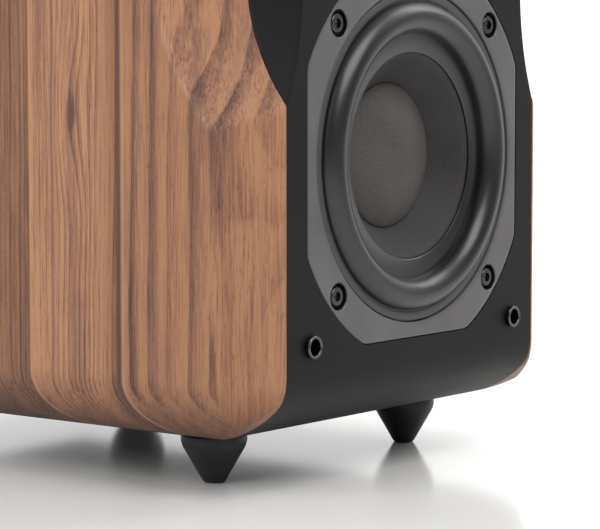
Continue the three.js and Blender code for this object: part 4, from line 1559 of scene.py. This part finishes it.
# ---- rear --------------------------------------------------------------------------


class SUBWOOFER_OT_rear(bpy.types.Operator):
    """Builds the port, the amplifier and its panel, with knobs, switches and sockets"""

    bl_idname = "subwoofer.rear"
    bl_label = "Port and amplifier"

    def execute(self, context):
        self.port()
        self.plate()
        self.sink()
        self.controls()
        self.sockets()
        self.inside()
        return {"FINISHED"}

    def port(self):
        """Flared reflex port with a rolled flange."""
        low, high = node_box("port_tube")
        centre, flange = seen_centre("port_tube")[1], (high.x - low.x) / 2
        bore, wall = 25.0, 2.5
        inner = [(bore, low.y + 9)] + arc((bore + 10, DEPTH - 8), (10, 10.6), 180, 100, 14)
        rim = [
            (flange - 1.6, high.y - 0.3), (flange - 0.3, high.y - 0.9), (flange, DEPTH + 1.2),
            (flange, DEPTH + SEAT_GAP),
        ]
        outer = [(bore + wall, DEPTH + SEAT_GAP), (bore + wall, low.y + 10)]
        mouth = [
            (bore + 4.4, low.y + 3.5), (bore + 6, low.y + 0.6), (bore + 5.2, low.y),
            (bore + 4.2, low.y + 0.3), (bore + 1.2, low.y + 4),
        ]
        tube_mesh = make_mesh("flared_port", *turned(inner + rim + outer + mouth, 96, (0, centre)), crease=40)
        settled(tube_mesh, finish_of("plastic"), stands_for=["port_tube"])

    def plate(self):
        """Steel plate with its openings, and the screws that hold it."""
        span = (PLATE_HIGH.y - 3, PLATE_BACK)
        outline = block_outline((PLATE_LOW.x, PLATE_LOW.z), (PLATE_HIGH.x, PLATE_HIGH.z), 4, 6)
        points, faces = pushed(outline, (span[0], span[1] - 0.3), "y")
        sheet = make_mesh("steel_plate", points, faces)
        bevelled(sheet, 0.4, 2, 60)
        cutters = []
        holes = {
            "volume_potentiometer": 4.4, "crossover_potentiometer": 4.4, "jack_left": 4.4, "jack_right": 4.4,
            "status_lamp": 2.2,
        }
        for node, radius in holes.items():
            cutters.append(drill(radius, (span[0] - 2, span[1] + 2), seen_centre(node)))
        slots = {"phase_switch": 0.3, "rocker_housing": -1.2, "mains_inlet": -2.0}
        for node, margin in slots.items():
            low, high = node_box(node)
            corners = block_outline((low.x - margin, low.z - margin), (high.x + margin, high.z + margin))
            cutters.append(make_mesh("slot", *pushed(corners, (span[0] - 2, span[1] + 2), "y")))
        pillar_low = PLATE_LOW.y
        sheet = combined(sheet, cutters)
        pillars = []
        for x in (-62, 62):
            for z in (-86, 13):
                profile = softened(
                    [(0, pillar_low), (3, pillar_low), (3, span[0] + 0.5), (0, span[0] + 0.5)], 0.3, 2,
                )
                pillars.append(make_mesh("pillar", *turned(profile, 24, (x, z))))
        sheet = combined(sheet, pillars, operation="UNION")
        settled(sheet, finish_of("powder"), stands_for=["amp_plate"])

        head = softened(
            [
                (0, PLATE_BACK + 0.9), (1.2, PLATE_BACK + 0.85), (3.1, PLATE_BACK + 0.2),
                (3.2, PLATE_BACK + 0.02), (1.6, PLATE_BACK + 0.02), (1.6, DEPTH - 9), (0, DEPTH - 11),
            ],
            0.2, 3,
        )
        screw = make_mesh("plate_screws", *turned(head, 28))
        cross = [soft_block("slot", (-1.7, PLATE_BACK + 0.3, -0.32), (1.7, PLATE_BACK + 2, 0.32), 0.05),
                 soft_block("slot", (-0.32, PLATE_BACK + 0.3, -1.7), (0.32, PLATE_BACK + 2, 1.7), 0.05)]
        screw = combined(screw, cross)
        run_tree(screw, corners_tree(finish_of("screw")), {
            "Low row": (PLATE_LOW.z + 3.6) * MM, "High row": (PLATE_HIGH.z - 3.6) * MM,
            "Low half width": (PLATE_HIGH.x - 3.6) * MM, "High half width": (PLATE_HIGH.x - 3.6) * MM,
        })
        settled(screw, finish_of("screw"))

    def sink(self):
        """Extruded heat sink: a base and a row of fins."""
        low, high = node_box("heat_sink")
        pitch, thick, count = 7.4, 2.6, 9
        profile = softened(
            [(low.x, low.y + 2.5), (low.x, high.y), (low.x + thick, high.y), (low.x + thick, low.y + 2.5)],
            0.9, 4,
        )
        fin = make_mesh("finned_heat_sink", *pushed(profile, (low.z, high.z), "z"))
        run_tree(fin, row_tree(finish_of("anodised")), {"Count": count, "Pitch": pitch * MM})
        base = soft_block("sink_base", low, (high.x, low.y + 4, high.z), 0.4)
        fin = combined(base, [fin], operation="UNION")
        fin.name = "finned_heat_sink"
        settled(fin, finish_of("anodised"), stands_for=["heat_sink"])

    def controls(self):
        """Knobs with ribs and a pointer, the rocker, the phase slide and the lamp."""
        for word in ("volume", "crossover"):
            body = f"{word}_control"
            low, high = node_box(f"{word}_knob")
            centre, radius = seen_centre(f"{word}_knob"), (high.x - low.x) / 2
            profile = softened(
                [
                    (0, high.y - 0.5), (radius - 3.2, high.y - 0.5), (radius - 2.4, high.y),
                    (radius - 1.5, high.y), (radius - 0.5, high.y - 1.2), (radius - 0.4, low.y + 1.5),
                    (radius, low.y + 0.8), (radius, low.y), (3.3, low.y), (3.3, high.y - 3.2),
                    (0, high.y - 3.2),
                ],
                0.3, 3,
            )
            cap = make_mesh(f"{word}_cap", *turned(profile, 96, centre))
            pointer = soft_block("pointer", (centre[0] - 0.5, high.y - 0.9, centre[1] + 3.2),
                                 (centre[0] + 0.5, high.y + 1, centre[1] + radius - 1.8), 0.1)
            cap = combined(cap, [pointer])
            rib = make_mesh(
                "rib",
                *turned(
                    [(0, low.y + 1.8), (0.34, low.y + 2), (0.34, high.y - 1.9), (0, high.y - 1.5)], 8,
                    (centre[0] + radius - 0.42, centre[1]),
                ),
            )
            rib.data.transform(
                Matrix.Translation(-Vector((centre[0], 0, centre[1])) * MM - Vector((0, 0, AXIS_Z))),
            )
            run_tree(rib, ring_tree(finish_of("plastic")), {
                "Count": 36, "Centre": Vector((centre[0], 0, centre[1])) * MM + Vector((0, 0, AXIS_Z)),
            })
            cap = merged(f"{word}_ribbed_knob", [cap, rib])
            settled(cap, finish_of("plastic"), body, [f"{word}_knob"])
            dress("aluminium", f"{word}_shaft")
            dress("zinc", f"{word}_potentiometer")
        self.rocker()
        low, high = node_box("phase_lever")
        lever = soft_block("phase_tab", low, high, 0.35)
        settled(lever, finish_of("plastic"), "phase_slider", ["phase_lever"])
        dress("zinc", "phase_switch")
        low, high = node_box("status_lamp")
        centre = seen_centre("status_lamp")
        lens = [
            (0, low.y), (1.75, low.y), (1.75, high.y - 1.5),
        ] + arc((0, high.y - 1.5), (1.75, 1.5), 0, 90, 8)
        lens[-1] = (0, high.y)
        settled(make_mesh("lamp_lens", *turned(lens, 32, centre)), finish_of("lens"),
                stands_for=["status_lamp"])

    def rocker(self):
        """Rocker with a dished face, and the housing that it turns in."""
        low, high = node_box("rocker_housing")
        x, z = seen_centre("rocker_housing")
        back = PLATE_BACK + 2
        rim = make_mesh("housing", *pushed(block_outline((low.x, low.z), (high.x, high.z), 1.6, 5),
                                            (PLATE_BACK + SEAT_GAP, back - 0.4), "y"))
        bevelled(rim, 0.5, 3, 60)
        shell = make_mesh("shell", *pushed(block_outline((x - 6.5, z - 9.7), (x + 6.5, z + 9.7), 0.5),
                                            (low.y, PLATE_BACK + 1), "y"))
        rim = combined(rim, [shell], operation="UNION")
        well = make_mesh("well", *pushed(block_outline((x - 5.3, z - 8.6), (x + 5.3, z + 8.6), 0.6),
                                          (PLATE_BACK - 12, back + 2), "y"))
        rim = combined(rim, [well])
        rim.name = "rocker_frame"
        settled(rim, finish_of("plastic"), stands_for=["rocker_housing"])
        dish = arc((9.6, 0), (7.4, 9.5), 128.8, 231.2, 10)
        outline = softened(
            [(-5, -3.4), (-0.4, -7.4), *[(u - 1.75, v) for u, v in dish[::-1]], (-0.4, 7.4), (-5, 3.4)], 0.25,
            2, closed=True,
        )
        paddle = make_mesh("power_paddle", *pushed(outline, (-4.8, 4.8), "x"))
        bevelled(paddle, 0.25, 2, 50)
        pivot = Vector((x, PLATE_BACK - 0.4, z))
        tilted = Matrix.Translation(ORIGIN + pivot * MM) @ Matrix.Rotation(math.radians(8), 4, "X")
        paddle.data.transform(tilted @ Matrix.Translation(-ORIGIN))
        settled(smoothed(paddle), finish_of("plastic"), "rocker", ["power_rocker"])

    def sockets(self):
        """Mains inlet with three blades, and two line jacks."""
        low, high = node_box("mains_inlet")
        x, z = seen_centre("mains_inlet")
        rim = make_mesh("inlet", *pushed(block_outline((low.x, low.z), (high.x, high.z), 2.2, 5),
                                          (PLATE_BACK + SEAT_GAP, high.y - 0.4), "y"))
        bevelled(rim, 0.4, 3, 60)
        shell = make_mesh("shell", *pushed(block_outline((x - 13.6, z - 10.1), (x + 13.6, z + 10.1), 0.5),
                                            (low.y, PLATE_BACK + 1), "y"))
        rim = combined(rim, [shell], operation="UNION")
        floor = PLATE_BACK - 14
        recess = [
            (x - 12, z - 8.4), (x + 12, z - 8.4), (x + 12, z + 4.6), (x + 8.2, z + 8.4), (x - 8.2, z + 8.4),
            (x - 12, z + 4.6),
        ]
        well = make_mesh("well", *pushed(softened(recess, 0.8, 3, closed=True), (floor, high.y + 2), "y"))
        rim = combined(rim, [well])
        rim.name = "inlet_shell"
        settled(rim, finish_of("plastic"), stands_for=["mains_inlet"])
        blades = [
            soft_block("blade", (x + dx - 1, floor - 1, z + dz - 2), (x + dx + 1, PLATE_BACK - 1, z + dz + 2), 0.4)
            for dx, dz in ((-7, -1.5), (0, 3.5), (7, -1.5))
        ]
        settled(merged("inlet_blades", blades), finish_of("nickel"))
        for word in ("left", "right"):
            low, high = node_box(f"jack_{word}")
            profile = softened([
                (0, low.y), (4, low.y), (4, PLATE_BACK + 0.3), (5.8, PLATE_BACK + 0.3), (5.8, PLATE_BACK + 2),
                (4.2, PLATE_BACK + 2), (4.2, high.y - 0.3), (3.9, high.y), (3.3, high.y), (3.3, high.y - 0.8),
                (1.8, high.y - 0.8), (1.8, PLATE_BACK + 1), (0, PLATE_BACK + 1),
            ], 0.2, 3)
            settled(
                make_mesh(f"line_jack_{word}", *turned(profile, 48, seen_centre(f"jack_{word}"))),
                finish_of("gilt"), stands_for=[f"jack_{word}"],
            )

    def inside(self):
        """Board, capacitors, transformer and the lead to the driver."""
        dress("board", "amp_board")
        for i in (1, 2):
            low, high = node_box(f"capacitor_{i}")
            centre, radius = seen_centre(f"capacitor_{i}"), (high.x - low.x) / 2
            profile = softened(
                [
                    (0, low.y), (radius - 0.6, low.y), (radius, low.y + 1), (radius, high.y - 3.4),
                    (radius - 0.8, high.y - 2.6), (radius, high.y - 1.8), (radius, high.y), (0, high.y),
                ],
                0.5, 3,
            )
            settled(make_mesh(f"smoothing_capacitor_{i}", *turned(profile, 56, centre)),
                    finish_of("plastic"), stands_for=[f"capacitor_{i}"])
        low, high = node_box("mains_transformer")
        centre = ((low.x + high.x) / 2, (low.y + high.y) / 2)
        outer = (high.x - low.x) / 2
        profile = softened([(12, low.z), (outer, low.z), (outer, high.z), (12, high.z)], 8, 8, closed=True)
        settled(make_mesh("toroid", *turned(profile, 96, centre, upright=True)), finish_of("tape"),
                stands_for=["mains_transformer"])
        path = [(0, 54.6, -54), (0, 60, -54), (2, 68, -60), (24, 92, -78), (46, 130, -86), (50, 180, -80),
                (44, 226, -66), (40, 256.5, -62)]
        lead = tube("twin_lead", path, 1.7, 12, 90)
        settled(lead, finish_of("jacket"), stands_for=["speaker_lead"])


# ---- stage -------------------------------------------------------------------------


def softbox(name, place, target, size, power):
    """A white rectangular soft light aimed at a point, in metres."""
    data = bpy.data.lights.new(name, "AREA")
    data.shape = "RECTANGLE"
    data.size, data.size_y = size
    data.energy = power
    lamp = bpy.data.objects.new(name, data)
    lamp.location = place
    lamp.rotation_euler = (Vector(target) - Vector(place)).to_track_quat("-Z", "Y").to_euler()
    bpy.context.scene.collection.objects.link(lamp)
    return lamp


class SUBWOOFER_OT_stage(bpy.types.Operator):
    """Sets the floor, the light and the camera"""

    bl_idname = "subwoofer.stage"
    bl_label = "Stage"

    def execute(self, context):
        settings = context.scene.subwoofer_stage
        bpy.ops.mesh.primitive_plane_add(size=30, location=(0, 0, CAD_BOX[0].z))
        floor = context.object
        floor.name = "floor"
        floor.data.materials.append(finish_of("floor"))

        world = bpy.data.worlds.new("white room")
        context.scene.world = world
        world.use_nodes = True
        sky = world.node_tree
        toward = add_node(sky, "ShaderNodeVectorMath", {
            0: add_node(sky, "ShaderNodeTexCoord").outputs["Generated"], 1: (0.79, 0.6, 0.1),
        }, operation="DOT_PRODUCT")
        glow = add_node(sky, "ShaderNodeMapRange", {
            "Value": toward.outputs["Value"], "From Min": 0.0, "From Max": 0.85,
            "To Min": settings.room, "To Max": settings.backdrop,
        }, interpolation_type="SMOOTHSTEP")
        back = sky.nodes["Background"]
        back.inputs["Color"].default_value = (1, 1, 1, 1)
        sky.links.new(glow.outputs[0], back.inputs["Strength"])

        middle = ORIGIN + Vector((0, 0.05, 0))
        softbox("overhead", (-0.2, -1.1, 1.3), middle, (1.3, 0.9), settings.key_power)
        softbox("far side", (1.2, -0.7, 1.2), middle, (0.5, 0.9), settings.far_power)
        softbox("near side", (-1.5, 0.25, 1.0), middle, (1.0, 1.2), settings.side_power)

        yaw, pitch = math.radians(52.624), math.radians(4.929)
        data = bpy.data.cameras.new("camera")
        data.sensor_width = 36
        data.lens = settings.lens
        camera = bpy.data.objects.new("camera", data)
        camera.location = ORIGIN + Vector((-945.99, -655.64, 49.76)) * MM
        ahead = Vector((math.sin(yaw) * math.cos(pitch), math.cos(yaw) * math.cos(pitch), -math.sin(pitch)))
        camera.rotation_euler = ahead.to_track_quat("-Z", "Y").to_euler()
        context.scene.collection.objects.link(camera)
        context.scene.camera = camera
        context.scene.view_settings.view_transform = "Standard"
        return {"FINISHED"}


# ---- add-on ------------------------------------------------------------------------

GROUPS = {
    "subwoofer_cabinet": SubwooferCabinet, "subwoofer_finish": SubwooferFinish,
    "subwoofer_stage": SubwooferStage,
}
STEPS = (
    SUBWOOFER_OT_cabinet, SUBWOOFER_OT_driver, SUBWOOFER_OT_fittings, SUBWOOFER_OT_rear, SUBWOOFER_OT_stage,
)


class SUBWOOFER_PT_panel(bpy.types.Panel):
    """Lists the steps and the settings"""

    bl_idname = "SUBWOOFER_PT_panel"
    bl_label = "Subwoofer"
    bl_space_type = "VIEW_3D"
    bl_region_type = "UI"
    bl_category = "Subwoofer"

    def draw(self, context):
        layout = self.layout
        for name in GROUPS:
            group = getattr(context.scene, name)
            for prop in group.bl_rna.properties:
                if prop.identifier not in {"rna_type", "name"}:
                    layout.prop(group, prop.identifier)
        for step in STEPS:
            layout.operator(step.bl_idname)


def register():
    for cls in (*GROUPS.values(), *STEPS, SUBWOOFER_PT_panel):
        bpy.utils.register_class(cls)
    for name, group in GROUPS.items():
        setattr(bpy.types.Scene, name, bpy.props.PointerProperty(type=group))


def unregister():
    for name in GROUPS:
        delattr(bpy.types.Scene, name)
    for cls in reversed((*GROUPS.values(), *STEPS, SUBWOOFER_PT_panel)):
        bpy.utils.unregister_class(cls)


def main():
    register()
    for spare in ("Cube", "Light", "Camera"):
        if spare in bpy.data.objects:
            bpy.data.objects.remove(bpy.data.objects[spare])
    bpy.ops.subwoofer.cabinet()
    bpy.ops.subwoofer.driver()
    bpy.ops.subwoofer.fittings()
    bpy.ops.subwoofer.rear()
    bpy.ops.subwoofer.stage()


if __name__ == "__main__":
    main()
